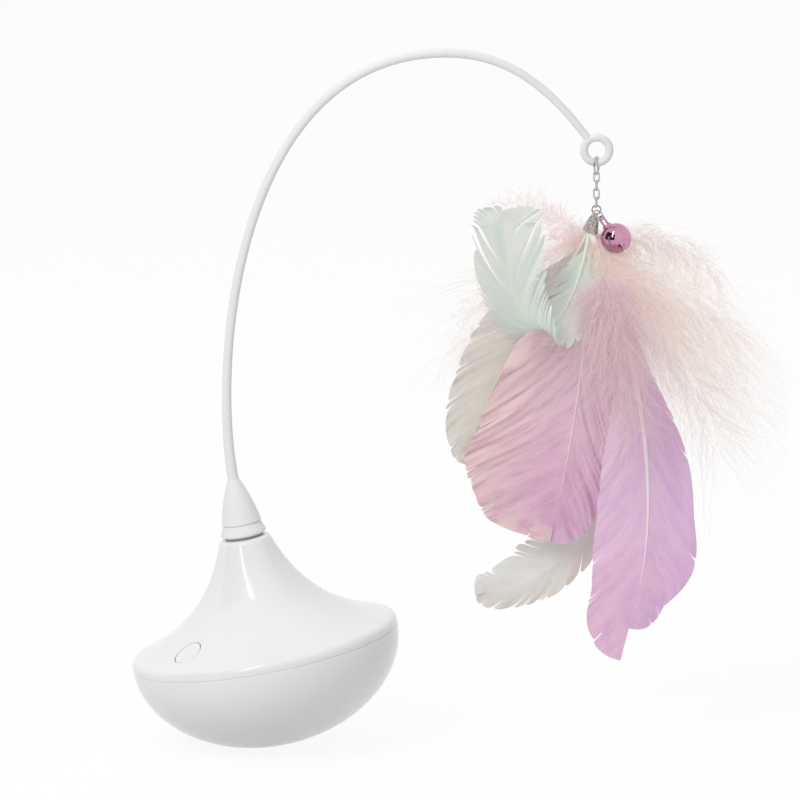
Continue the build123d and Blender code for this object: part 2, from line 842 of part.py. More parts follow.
def compound_gear(spot, wheel_level, pinion_phase):
    """Make a wheel with a pinion on top of it, bored to run on its pin."""
    frame = frame_at(spot)
    with BuildPart() as gear:
        with BuildSketch(frame.offset(wheel_level)):
            with BuildLine():
                gear_outline(wheel_teeth, -tooth_shift_share, 0)
            make_face()
        extrude(amount=face_width)
        with BuildSketch(frame.offset(wheel_level + face_width)):
            Circle(wheel_pitch - rim_band)
            Circle(hub_radius + rim_band, mode=Mode.SUBTRACT)
        extrude(amount=-web_recess, mode=Mode.SUBTRACT)
        with BuildSketch(frame.offset(wheel_level + face_width)):
            with BuildLine():
                gear_outline(pinion_teeth, tooth_shift_share, pinion_phase)
            make_face()
        extrude(amount=level_gap + face_width)
        with BuildSketch(frame.offset(case_bottom + case_floor + axial_gap)):
            Circle(hub_radius)
        extrude(amount=case_lid_bottom - case_bottom - case_floor - 2 * axial_gap)
        with BuildSketch(frame.offset(case_bottom)):
            Circle(gear_pin_radius + running_gap)
        extrude(amount=case_top - case_bottom, mode=Mode.SUBTRACT)
    return gear


second_gear = compound_gear(second_spot, gear_level[1], second_pinion_phase)
second_gear.part.label = "second_gear"
export_step(second_gear.part, "parts/second_gear.step")

first_gear = compound_gear(first_spot, gear_level[0], first_pinion_phase)
first_gear.part.label = "first_gear"
export_step(first_gear.part, "parts/first_gear.step")


def flatted_round(radius, flat):
    """Draw a round with one side cut flat."""
    Circle(radius)
    with Locations((flat + radius, 0)):
        Rectangle(2 * radius, 2 * radius, mode=Mode.SUBTRACT)


with BuildPart() as output_gear:
    with BuildSketch(base.offset(gear_level[2])):
        with BuildLine():
            gear_outline(output_teeth, -tooth_shift_share, 0)
        make_face()
    extrude(amount=face_width)
    with BuildSketch(base.offset(gear_level[2] + face_width)):
        Circle(output_pitch - rim_band)
        Circle(output_hub_radius, mode=Mode.SUBTRACT)
    extrude(amount=-web_recess, mode=Mode.SUBTRACT)
    with BuildSketch(base.offset(gear_level[2])):
        Circle(output_hub_radius)
    extrude(amount=face_width + level_gap - axial_gap)
    with BuildSketch(base.offset(gear_level[2] - overrun)):
        flatted_round(spindle_radius + seat_gap, spindle_flat_distance + seat_gap)
    extrude(amount=face_width + level_gap + 2 * overrun, mode=Mode.SUBTRACT)
output_gear.part.label = "output_gear"
export_step(output_gear.part, "parts/output_gear.step")

with BuildPart() as gear_pins:
    with BuildSketch(base.offset(case_bottom + case_floor - gear_pin_seat)):
        with Locations(first_spot, second_spot):
            Circle(gear_pin_radius)
    extrude(amount=case_lid_bottom - case_bottom - case_floor + 2 * gear_pin_seat)
gear_pins.part.label = "gear_pins"
export_step(gear_pins.part, "parts/gear_pins.step")


# Gear case: a tub with four screw ears, a lid, and a socket below for the motor
def case_outline(inset):
    """Draw the case's outline round the gears and the motor, moved in by an inset."""
    Circle(output_case_radius - inset)
    with Locations(second_spot, first_spot):
        Circle(wheel_case_radius - inset)
    with Locations(motor_spot):
        Circle(motor_socket_radius - inset)
    make_hull()


foot_bearing_radius = spindle_radius + running_gap + foot_bearing_wall
pinion_hole_radius = motor_boss_radius + seat_gap
with BuildPart() as gear_case_lower:
    with BuildSketch(base.offset(case_bottom)):
        case_outline(0)
        with Locations(*ear_spots):
            Circle(ear_radius)
    extrude(amount=case_lid_bottom - case_bottom)
    with BuildSketch(base.offset(case_bottom + case_floor)):
        case_outline(case_wall)
    extrude(amount=case_top - case_bottom, mode=Mode.SUBTRACT)
    with BuildSketch(base.offset(case_bottom)):
        Circle(foot_bearing_radius)
    extrude(amount=-foot_bearing_drop)
    with BuildSketch(base.offset(case_bottom)):
        with Locations(motor_spot):
            Circle(motor_socket_radius)
            Circle(motor_radius + seat_gap, mode=Mode.SUBTRACT)
    extrude(amount=-motor_socket_depth)
    with BuildSketch(base.offset(case_bottom + case_floor)):
        Circle(spindle_radius + running_gap)
    extrude(amount=-foot_bearing_depth, mode=Mode.SUBTRACT)
    with BuildSketch(base.offset(case_bottom - overrun)):
        with Locations(motor_spot):
            Circle(pinion_hole_radius)
    extrude(amount=case_floor + 2 * overrun, mode=Mode.SUBTRACT)
    with BuildSketch(base.offset(case_bottom + case_floor)):
        with Locations(first_spot, second_spot):
            Circle(gear_pin_radius + press_gap)
    extrude(amount=-gear_pin_seat, mode=Mode.SUBTRACT)
    with BuildSketch(base.offset(case_bottom)):
        with Locations(*ear_spots):
            Circle(screw_radius + screw_hole_gap)
    extrude(amount=case_top - case_bottom, mode=Mode.SUBTRACT)
gear_case_lower.part.label = "gear_case_lower"
export_step(gear_case_lower.part, "parts/gear_case_lower.step")

with BuildPart() as gear_case_lid:
    with BuildSketch(base.offset(case_lid_bottom)):
        case_outline(0)
        with Locations(*ear_spots):
            Circle(ear_radius)
            Circle(screw_radius + screw_hole_gap, mode=Mode.SUBTRACT)
        Circle(spindle_radius + fit_gap, mode=Mode.SUBTRACT)
    extrude(amount=case_lid)
    with BuildSketch(base.offset(case_lid_bottom)):
        with Locations(first_spot, second_spot):
            Circle(gear_pin_radius + press_gap)
    extrude(amount=gear_pin_seat, mode=Mode.SUBTRACT)
gear_case_lid.part.label = "gear_case_lid"
export_step(gear_case_lid.part, "parts/gear_case_lid.step")

gear_case_screws = screws(
    base, ear_spots, case_bottom, case_top - case_bottom + case_screw_bite, head_up=False
)
gear_case_screws.part.label = "gear_case_screws"
export_step(gear_case_screws.part, "parts/gear_case_screws.step")

# Motor: can, tail cap, magnets, and the rotor with its pinion
motor_frame = frame_at(motor_spot)
motor_length = bowl_depth - motor_room_below
motor_bottom = case_bottom - motor_length
armature_length = motor_length - armature_end_room
armature_bottom = motor_bottom + (motor_length + motor_cap_thickness - armature_length) / 2
with BuildPart() as motor_can:
    with BuildSketch(motor_frame.offset(motor_bottom)):
        Circle(motor_radius)
    extrude(amount=motor_length)
    fillet(
        motor_can.edges().filter_by(GeomType.CIRCLE).sort_by(spin_axis)[-1], motor_can_wall
    )
    with BuildSketch(motor_frame.offset(case_bottom)):
        Circle(motor_boss_radius)
    extrude(amount=motor_boss_height)
    with BuildSketch(motor_frame.offset(motor_bottom)):
        Circle(motor_radius - motor_can_wall)
    extrude(amount=motor_length - motor_can_wall, mode=Mode.SUBTRACT)
    with BuildSketch(motor_frame.offset(case_bottom - 2 * motor_can_wall)):
        Circle(motor_shaft_radius + running_gap)
    extrude(amount=2 * motor_can_wall + 2 * motor_boss_height, mode=Mode.SUBTRACT)
motor_can.part.label = "motor_can"
export_step(motor_can.part, "parts/motor_can.step")

with BuildPart() as motor_tail_cap:
    with BuildSketch(motor_frame.offset(motor_bottom)):
        Circle(motor_radius - motor_can_wall - seat_gap)
    extrude(amount=motor_cap_thickness)
    with BuildSketch(motor_frame.offset(motor_bottom)):
        Circle(motor_boss_radius)
    extrude(amount=-motor_boss_height)
    with BuildSketch(motor_frame.offset(motor_bottom - 2 * motor_boss_height)):
        Circle(motor_shaft_radius + running_gap)
    extrude(amount=motor_cap_thickness + 3 * motor_boss_height, mode=Mode.SUBTRACT)
motor_tail_cap.part.label = "motor_tail_cap"
export_step(motor_tail_cap.part, "parts/motor_tail_cap.step")

with BuildPart() as motor_terminals:
    with BuildSketch(motor_frame.offset(motor_bottom)):
        with GridLocations(terminal_spacing, 0, 2, 1):
            Rectangle(terminal_thickness, terminal_width)
    extrude(amount=-terminal_length)
motor_terminals.part.label = "motor_terminals"
export_step(motor_terminals.part, "parts/motor_terminals.step")

magnet_length = motor_length - motor_can_wall - motor_cap_thickness - 2 * fit_gap
with BuildPart() as motor_magnets:
    with BuildSketch(motor_frame.offset(motor_bottom + motor_cap_thickness + fit_gap)):
        with BuildLine():
            for middle in magnet_angles:
                outer = CenterArc(
                    (0, 0), motor_radius - motor_can_wall - seat_gap,
                    middle - magnet_arc / 2, magnet_arc,
                )
                inner = CenterArc(
                    (0, 0), armature_radius + magnet_air_gap, middle - magnet_arc / 2, magnet_arc
                )
                Line(outer @ 0, inner @ 0)
                Line(outer @ 1, inner @ 1)
        make_face()
    extrude(amount=magnet_length)
motor_magnets.part.label = "motor_magnets"
export_step(motor_magnets.part, "parts/motor_magnets.step")

with BuildPart() as motor_rotor:
    with BuildSketch(motor_frame.offset(motor_bottom - motor_tail)):
        Circle(motor_shaft_radius)
    extrude(amount=gear_level[0] + face_width - motor_bottom + motor_tail)
    with BuildSketch(motor_frame.offset(armature_bottom)):
        Circle(armature_radius)
    extrude(amount=armature_length)
motor_rotor.part.label = "motor_rotor"
export_step(motor_rotor.part, "parts/motor_rotor.step")

with BuildPart() as motor_pinion:
    with BuildSketch(motor_frame.offset(gear_level[0])):
        with BuildLine():
            gear_outline(pinion_teeth, tooth_shift_share, motor_pinion_phase)
        make_face()
        Circle(motor_shaft_radius + press_gap, mode=Mode.SUBTRACT)
    extrude(amount=face_width)
motor_pinion.part.label = "motor_pinion"
export_step(motor_pinion.part, "parts/motor_pinion.step")

# Neck: bushing, spindle, clip, dust washer and collar
with BuildPart() as neck_bushing:
    with BuildSketch(base.offset(neck_ceiling)):
        Circle(bushing_radius)
        Circle(spindle_radius + running_gap, mode=Mode.SUBTRACT)
    extrude(amount=cover_height - bushing_top_clear - neck_ceiling)
    with BuildSketch(base.offset(neck_ceiling)):
        Circle(bushing_flange_radius)
        Circle(spindle_radius + running_gap, mode=Mode.SUBTRACT)
    extrude(amount=-bushing_flange)
neck_bushing.part.label = "neck_bushing"
export_step(neck_bushing.part, "parts/neck_bushing.step")

with BuildPart() as dust_washer:
    with BuildSketch(base.offset(cover_height)):
        Circle(washer_radius)
        Circle(spindle_radius + fit_gap, mode=Mode.SUBTRACT)
    extrude(amount=washer_thickness)
dust_washer.part.label = "dust_washer"
export_step(dust_washer.part, "parts/dust_washer.step")

collar_bottom = cover_height + washer_thickness + fit_gap
collar_top = collar_bottom + collar_height
stub_top = collar_top + stub_length
spindle_bottom = case_bottom + case_floor - foot_bearing_depth + fit_gap
spindle_top = stub_top - spindle_end_clear
clip_top = neck_ceiling - bushing_flange - running_gap
with BuildPart() as spindle:
    with BuildSketch(base.offset(spindle_bottom)):
        Circle(spindle_radius)
    extrude(amount=spindle_top - spindle_bottom)
    with BuildSketch(base.offset(clip_top - clip_thickness - seat_gap)):
        Circle(spindle_radius + overrun)
        Circle(spindle_radius - clip_groove_depth, mode=Mode.SUBTRACT)
    extrude(amount=clip_thickness + 2 * seat_gap, mode=Mode.SUBTRACT)
    with BuildSketch(base.offset(spindle_bottom)):
        with Locations((spindle_flat_distance + spindle_radius, 0)):
            Rectangle(2 * spindle_radius, 2 * spindle_radius)
    extrude(amount=case_top - spindle_bottom, mode=Mode.SUBTRACT)
    with BuildSketch(base.offset(collar_bottom)):
        with Locations((spindle_flat_distance + spindle_radius, 0)):
            Rectangle(2 * spindle_radius, 2 * spindle_radius)
    extrude(amount=spindle_top - collar_bottom, mode=Mode.SUBTRACT)
    chamfer(spindle.edges().sort_by(spin_axis)[-1], running_gap)
spindle.part.label = "spindle"
export_step(spindle.part, "parts/spindle.step")

with BuildPart() as spindle_clip:
    with BuildSketch(base.offset(clip_top - clip_thickness)):
        Circle(clip_radius)
        Circle(spindle_radius - clip_groove_depth + seat_gap, mode=Mode.SUBTRACT)
        with Locations((-clip_radius, 0)):
            Rectangle(2 * clip_radius, clip_mouth, mode=Mode.SUBTRACT)
    extrude(amount=clip_thickness)
spindle_clip.part.label = "spindle_clip"
export_step(spindle_clip.part, "parts/spindle_clip.step")

with BuildPart() as arm_collar:
    with BuildSketch(section):
        with BuildLine():
            foot = TangentArc(
                (collar_foot_radius, collar_bottom),
                (collar_belly_radius, collar_bottom + collar_belly_height),
                tangent=(1, 0),
            )
            Polyline(
                foot @ 1,
                (collar_top_radius, collar_top),
                (stub_radius, collar_top),
                (stub_radius, stub_top - stub_chamfer),
                (stub_radius - stub_chamfer, stub_top),
                (0, stub_top),
                (0, collar_bottom),
                foot @ 0,
            )
        make_face()
    revolve(axis=spin_axis)
    with BuildSketch(base.offset(collar_bottom - overrun)):
        flatted_round(spindle_radius + seat_gap, spindle_flat_distance + seat_gap)
    extrude(amount=spindle_top + fit_gap - collar_bottom + overrun, mode=Mode.SUBTRACT)
arm_collar.part.label = "arm_collar"
export_step(arm_collar.part, "parts/arm_collar.step")

# Wand: a boot that pushes onto the collar's stub, a tapering rod and an eye at its tip
boot_bottom = collar_top + running_gap
boot_top = boot_bottom + boot_length
eye_centre = Vector(eye_x, 0, eye_z)
wand_root = base.origin + base.z_dir * (boot_top - rod_root)
wand_apex = Vector(wand_apex_x, 0, wand_apex_z)
tip_way = Vector(cos(radians(wand_tip_angle)), 0, -sin(radians(wand_tip_angle)))
wand_tip = eye_centre - tip_way * eye_ring_radius
rise_path = Bezier(
    wand_root,
    wand_root + base.z_dir * (wand_rise_pull + rod_root),
    wand_apex - Vector(wand_apex_back_pull, 0, 0),
    wand_apex,
)
fall_path = Bezier(
    wand_apex,
    wand_apex + Vector(wand_apex_front_pull, 0, 0),
    wand_tip - tip_way * wand_tip_pull,
    wand_tip,
)
rod_sections = []
for step in range(rise_sections):
    share = (step / rise_sections) ** foot_crowding_power
    swell = exp(-share * rise_path.length / rod_taper_length)
    radius = rod_radius + (rod_foot_radius - rod_radius) * swell
    rod_sections.append((rise_path @ share, rise_path % share, radius))
for step in range(fall_sections + 1):
    share = step / fall_sections
    radius = rod_radius + (rod_tip_radius - rod_radius) * share
    rod_sections.append((fall_path @ share, fall_path % share, radius))
eye_ring = wire_ring(eye_centre, base.y_dir, eye_ring_radius, eye_wire_radius)

with BuildPart() as wand_rod:
    for centre, way, radius in rod_sections:
        with BuildSketch(Plane(origin=centre, x_dir=base.y_dir, z_dir=way)):
            Circle(radius)
    loft()

with BuildPart() as wand_arm:
    with BuildSketch(section):
        with BuildLine():
            toe = CenterArc(
                (boot_radius - boot_foot_round, boot_bottom + boot_foot_round),
                boot_foot_round, -90, 90,
            )
            flank = ThreePointArc(
                toe @ 1,
                (boot_waist_radius, boot_bottom + boot_waist_height),
                (rod_foot_radius, boot_top),
            )
            Polyline(flank @ 1, (0, boot_top), (0, boot_bottom), toe @ 0)
        make_face()
    revolve(axis=spin_axis)
    with BuildSketch(base.offset(boot_bottom)):
        Circle(stub_radius + press_gap)
    extrude(amount=stub_length + boot_bore_clear, mode=Mode.SUBTRACT)
    add(wand_rod.part)
    add(eye_ring.part)
wand_arm.part.label = "wand_arm"
export_step(wand_arm.part, "parts/wand_arm.step")

# Jump ring and chain
ring_way = Vector(cos(radians(jump_ring_turn)), sin(radians(jump_ring_turn)), 0)
link_way = Vector(-sin(radians(jump_ring_turn)), cos(radians(jump_ring_turn)), 0)
ring_z = eye_z - (eye_ring_radius - eye_wire_radius) - jump_ring_radius + jump_wire_radius
ring_z = ring_z + hang_gap
jump_ring = wire_ring((eye_x, 0, ring_z), ring_way, jump_ring_radius, jump_wire_radius)
jump_ring.part.label = "jump_ring"
export_step(jump_ring.part, "parts/jump_ring.step")

link_hold = link_straight / 2 + link_round_radius - link_wire_radius
first_link_z = ring_z - jump_ring_radius + jump_wire_radius + link_gap - link_hold
link_pitch = 2 * link_hold - link_gap


def chain_link(number):
    """Make one oval link; the links turn a quarter from one to the next."""
    wide_way = ring_way if number % 2 == 0 else link_way
    thin_way = link_way if number % 2 == 0 else ring_way
    centre = Vector(eye_x, 0, first_link_z - number * link_pitch)
    frame = Plane(origin=centre, x_dir=wide_way, z_dir=thin_way)
    with BuildPart() as link:
        with BuildLine(frame):
            right = Line((link_round_radius, -link_straight / 2), (link_round_radius, link_straight / 2))
            CenterArc((0, link_straight / 2), link_round_radius, 0, 180)
            Line((-link_round_radius, link_straight / 2), (-link_round_radius, -link_straight / 2))
            CenterArc((0, -link_straight / 2), link_round_radius, 180, 180)
        with BuildSketch(Plane(origin=right @ 0, x_dir=thin_way, z_dir=right % 0)):
            Circle(link_wire_radius)
        sweep()
    return link


for number in range(link_count):
    link = chain_link(number)
    link.part.label = "chain_link_" + str(number + 1)
    export_step(link.part, "parts/" + link.part.label + ".step")

# End cap: a small loop on a cone that grips the quills
cap_loop_z = first_link_z - (link_count - 1) * link_pitch - link_hold + link_gap
cap_loop_z = cap_loop_z - cap_loop_radius + cap_loop_wire
cap_loop_centre = Vector(eye_x, 0, cap_loop_z)
cap_way = Vector(sin(radians(cap_lean)), 0, cos(radians(cap_lean)))
cap_mouth = cap_loop_centre - cap_way * (cap_loop_radius + cap_length)
cap_frame = Plane(origin=cap_mouth, x_dir=(cap_way.Z, 0, -cap_way.X), z_dir=cap_way)
cap_section = Plane(origin=cap_mouth, x_dir=cap_frame.x_dir, z_dir=-cap_frame.y_dir)
cap_slope = (cap_mouth_radius - cap_shoulder_radius) / cap_shoulder_height
cap_loop = wire_ring(cap_loop_centre, base.y_dir, cap_loop_radius, cap_loop_wire)
with BuildPart() as end_cap:
    with BuildSketch(cap_section):
        with BuildLine():
            Polyline(
                (0, cap_length),
                (cap_crown_radius, cap_length),
                (cap_shoulder_radius, cap_shoulder_height),
                (cap_mouth_radius, 0),
                (cap_mouth_radius - cap_wall, 0),
                (cap_mouth_radius - cap_wall - cap_slope * cap_socket_depth, cap_socket_depth),
                (0, cap_socket_depth),
                close=True,
            )
        make_face()
    revolve(axis=Axis(cap_mouth, cap_way))
    add(cap_loop.part)
end_cap.part.label = "end_cap"
export_step(end_cap.part, "parts/end_cap.step")

# Bell: a split ring from the cap's loop, the slotted shell and the pellet inside it
bell_way = Vector(-sin(radians(bell_lean)), 0, cos(radians(bell_lean)))
bell_centre = Vector(bell_x, bell_y, bell_z)
bell_frame = Plane(
    origin=bell_centre, x_dir=(bell_way.Z, 0, -bell_way.X), z_dir=bell_way
)
ring_top = cap_loop_centre - Vector(0, 0, cap_ring_drop)
ring_foot = bell_centre + bell_way * (bell_radius + bell_ring_seat)
ring_down = (ring_foot - ring_top).normalized()
ring_side = (Vector(1, 0, 0) - ring_down * ring_down.X).normalized()
ring_depth = ring_side.cross(ring_down)
turn = radians(bell_ring_turn)
ring_across = ring_depth * cos(turn) + ring_side * sin(turn)
bell_ring = wire_ring(
    (ring_top + ring_foot) * (1 / 2),
    ring_down.cross(ring_across),
    (ring_foot - ring_top).length / 2,
    bell_ring_wire,
)
bell_ring.part.label = "bell_ring"
export_step(bell_ring.part, "parts/bell_ring.step")

loop_face = (ring_across - bell_way * ring_across.dot(bell_way)).normalized()
loop_plane = Plane(
    origin=bell_centre + bell_way * bell_radius,
    x_dir=bell_way.cross(loop_face),
    z_dir=loop_face,
)
loop_half = bell_loop_width / 2 - bell_loop_wire
loop_straight = bell_loop_reach - bell_loop_wire - loop_half
slit_reach = radians(bell_slit_reach)
slit_end = bell_radius * sin(slit_reach)
with BuildPart(bell_frame) as bell_shell:
    Sphere(bell_radius)
    with BuildSketch(bell_frame.offset(sqrt(bell_radius ** 2 - bell_collar_radius ** 2))):
        Circle(bell_collar_radius)
    extrude(amount=bell_radius + bell_collar_height - sqrt(bell_radius ** 2 - bell_collar_radius ** 2))
    Sphere(bell_radius - bell_wall, mode=Mode.SUBTRACT)
    with BuildSketch(bell_frame.offset(-bell_radius * cos(slit_reach))):
        Rectangle(2 * slit_end, bell_slit)
        Rectangle(bell_slit, 2 * slit_end)
    extrude(amount=-bell_radius, mode=Mode.SUBTRACT)
    for side in (bell_frame.x_dir, -bell_frame.x_dir, bell_frame.y_dir, -bell_frame.y_dir):
        hole_way = side * sin(slit_reach) - bell_way * cos(slit_reach)
        with BuildSketch(Plane(origin=bell_centre, z_dir=hole_way)):
            Circle(bell_hole_radius)
        extrude(amount=bell_radius + overrun, mode=Mode.SUBTRACT)
    with BuildLine(loop_plane):
        rise = Line((-loop_half, bell_collar_height / 2), (-loop_half, loop_straight))
        CenterArc((0, loop_straight), loop_half, 180, -180)
        Line((loop_half, loop_straight), (loop_half, bell_collar_height / 2))
    with BuildSketch(Plane(origin=rise @ 0, x_dir=loop_face, z_dir=bell_way)):
        Circle(bell_loop_wire)
    sweep()
bell_shell.part.label = "bell_shell"
export_step(bell_shell.part, "parts/bell_shell.step")

pellet_drop = bell_radius - bell_wall - bell_pellet_radius - running_gap
with BuildPart(Plane(origin=bell_centre - Vector(0, 0, pellet_drop))) as bell_pellet:
    Sphere(bell_pellet_radius)
bell_pellet.part.label = "bell_pellet"
export_step(bell_pellet.part, "parts/bell_pellet.step")

# Feathers: each one a curved quill with a vane on either side, lofted in one solid
quill_ceiling = cap_socket_depth - fit_gap


def quill_spot(ring, angle):
    """Return a quill's start under the cap's ceiling, on a ring of that radius."""
    turned = spot_at(ring, angle)
    spot = cap_mouth + cap_way * quill_ceiling
    return spot + cap_frame.x_dir * turned[0] + cap_frame.y_dir * turned[1]


def feather_section(left, right, rise, quill):
    """Draw a feather's cross-section: two thin vanes with a ridge for the quill."""
    edge = vane_edge_share * quill
    thick = vane_root_share * quill
    Bezier((-left, rise * left + edge), (-left / 2, thick), (-quill, thick))
    Bezier((-quill, thick), (0, 2 * quill), (quill, thick))
    Bezier((quill, thick), (right / 2, thick), (right, rise * right + edge))
    Line((right, rise * right + edge), (right, rise * right - edge))
    Bezier((right, rise * right - edge), (right / 2, -thick), (quill, -thick))
    Line((quill, -thick), (-quill, -thick))
    Bezier((-quill, -thick), (-left / 2, -thick), (-left, rise * left - edge))
    Line((-left, rise * left - edge), (-left, rise * left + edge))


def feather(
    start, handle_shares, length, half_width, left_shares, right_shares,
    across_ends=None, first_section=0, last_section=None,
):
    """Make a feather, or a stretch of one, along a curve given as shares of its length."""
    mouth = start - cap_way * quill_ceiling
    handles = [
        mouth + Vector(*(share * length for share in handle)) for handle in handle_shares
    ]
    spine = Bezier(mouth, *handles)
    stem_half = quill_root_share * quill_radius
    sections = [
        (start - cap_way * quill_ceiling * depth, -cap_way, 0, stem_half, stem_half)
        for depth in (0, 1 / 2)
    ]
    for part_way, left, right in zip(feather_station_shares, left_shares, right_shares):
        way = spine % part_way if part_way else -cap_way
        left_half = max(left * half_width, stem_half)
        right_half = max(right * half_width, stem_half)
        sections.append((spine @ part_way, way, part_way, left_half, right_half))
    with BuildPart() as vane:
        for centre, way, part_way, left_half, right_half in sections[first_section:last_section]:
            if across_ends:
                first, last = across_ends
                across = Vector(*first) * (1 - part_way) + Vector(*last) * part_way
            else:
                across = Vector(0, -1, 0).cross(way)
            across = (across - way * across.dot(way)).normalized()
            quill = quill_radius * (1 - quill_taper_share * part_way)
            with BuildSketch(Plane(origin=centre, x_dir=across, z_dir=way)):
                with BuildLine():
                    feather_section(left_half, right_half, -vane_camber_share, quill)
                make_face()
        loft()
    return vane


lilac_feather = feather(
    quill_spot(quill_inner_ring, lilac_quill_angle),
    lilac_handle_shares, lilac_length, lilac_half_width,
    lilac_left_shares, lilac_right_shares,
)
lilac_feather.part.label = "lilac_feather"
export_step(lilac_feather.part, "parts/lilac_feather.step")

pink_feather = feather(
    quill_spot(0, 0), pink_handle_shares, pink_length, pink_half_width,
    pink_left_shares, pink_right_shares,
)
pink_feather.part.label = "pink_feather"
export_step(pink_feather.part, "parts/pink_feather.step")

sage_feather = feather(
    quill_spot(quill_inner_ring, sage_quill_angle),
    sage_handle_shares, sage_length, sage_half_width,
    sage_shares, sage_shares,
)
sage_feather.part.label = "sage_feather"
export_step(sage_feather.part, "parts/sage_feather.step")

white_feather = feather(
    quill_spot(quill_inner_ring, white_quill_angle),
    white_handle_shares, white_length, white_half_width,
    white_upper_shares, white_lower_shares,
)
white_feather.part.label = "white_feather"
export_step(white_feather.part, "parts/white_feather.step")

mint_bend = feather_station_shares.index(mint_bend_share)
mint_stretches = [
    feather(
        quill_spot(quill_inner_ring, mint_quill_angle),
        mint_handle_shares, mint_length, mint_half_width,
        mint_left_shares, mint_right_shares, mint_across_ways, first, last,
    )
    for first, last in ((0, mint_bend + 1), (mint_bend, None))
]
mint_feather = Compound(
    label="mint_feather", children=[stretch.part for stretch in mint_stretches]
)
export_step(mint_feather, "parts/mint_feather.step")

for name, length in down_lengths.items():
    plume = feather(
        quill_spot(down_quill_rings[name], down_quill_angles[name]),
        down_handle_shares[name], length, down_half_widths[name],
        down_shares, down_shares,
    )
    plume.part.label = name
    export_step(plume.part, "parts/" + name + ".step")
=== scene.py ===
"""Finishes an automatic cat teaser toy: shell, drive, chain, bell, feathers and down."""

import json
import logging
import math
from dataclasses import dataclass, field
from enum import Enum
from typing import Any, Union

import bpy
import numpy as np
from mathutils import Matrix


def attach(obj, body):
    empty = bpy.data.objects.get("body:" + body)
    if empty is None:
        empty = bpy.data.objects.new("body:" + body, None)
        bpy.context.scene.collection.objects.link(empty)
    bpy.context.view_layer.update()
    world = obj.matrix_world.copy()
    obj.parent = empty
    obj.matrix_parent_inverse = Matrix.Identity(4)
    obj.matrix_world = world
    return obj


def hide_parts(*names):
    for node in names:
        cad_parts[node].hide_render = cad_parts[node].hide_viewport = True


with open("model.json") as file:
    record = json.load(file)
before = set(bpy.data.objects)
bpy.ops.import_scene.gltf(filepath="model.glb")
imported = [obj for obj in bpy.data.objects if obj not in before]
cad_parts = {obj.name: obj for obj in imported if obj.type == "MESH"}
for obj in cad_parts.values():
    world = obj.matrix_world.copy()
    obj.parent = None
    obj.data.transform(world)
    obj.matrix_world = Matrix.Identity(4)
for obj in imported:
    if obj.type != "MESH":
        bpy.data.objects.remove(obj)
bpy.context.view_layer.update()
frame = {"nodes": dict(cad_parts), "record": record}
log = logging.getLogger("teaser")

MM = 0.001
WHITE_LIGHT = (1.0, 1.0, 1.0)
Colour = tuple[float, float, float]
Point = tuple[float, float, float]
Number = Union[float, "Value"]


def shade(red: int, green: int, blue: int) -> Colour:
    """Turn a swatch of 0 to 255 into the linear colour that a shader takes.

    Args:
        red: The red share of the swatch.
        green: The green share.
        blue: The blue share.

    Returns:
        The linear colour.
    """
    parts = np.array([red, green, blue]) / 255.0
    linear = np.where(parts <= 0.04045, parts / 12.92, ((parts + 0.055) / 1.055) ** 2.4)
    return tuple(float(part) for part in linear)


def toned(colour: Colour, share: float) -> Colour:
    """Return a colour with each of its parts multiplied by a share."""
    return tuple(part * share for part in colour)


class Value:
    """A shader socket whose arithmetic adds Math nodes."""

    def __init__(self, shader: "Shader", socket: Any) -> None:
        """Keep the socket and the shader that it belongs to."""
        self.shader = shader
        self.socket = socket

    def math(self, operation: str, first: Number, second: Number = 0.0) -> "Value":
        """Add one Math node for two operands."""
        return self.shader.add("ShaderNodeMath", {"operation": operation}, {0: first, 1: second})

    def __add__(self, other: Number) -> "Value":
        """Add another value."""
        return self.math("ADD", self, other)

    __radd__ = __add__

    def __sub__(self, other: Number) -> "Value":
        """Take another value away."""
        return self.math("SUBTRACT", self, other)

    def __rsub__(self, other: Number) -> "Value":
        """Take this value from a number."""
        return self.math("SUBTRACT", other, self)

    def __mul__(self, other: Number) -> "Value":
        """Multiply by another value."""
        return self.math("MULTIPLY", self, other)

    __rmul__ = __mul__

    def __pow__(self, other: Number) -> "Value":
        """Raise to a power."""
        return self.math("POWER", self, other)

    def rise(self, start: float, end: float) -> "Value":
        """Go smoothly from 0 at the start to 1 at the end."""
        return self.shader.add(
            "ShaderNodeMapRange",
            {"interpolation_type": "SMOOTHSTEP"},
            {0: self, 1: start, 2: end, 3: 0.0, 4: 1.0},
        )


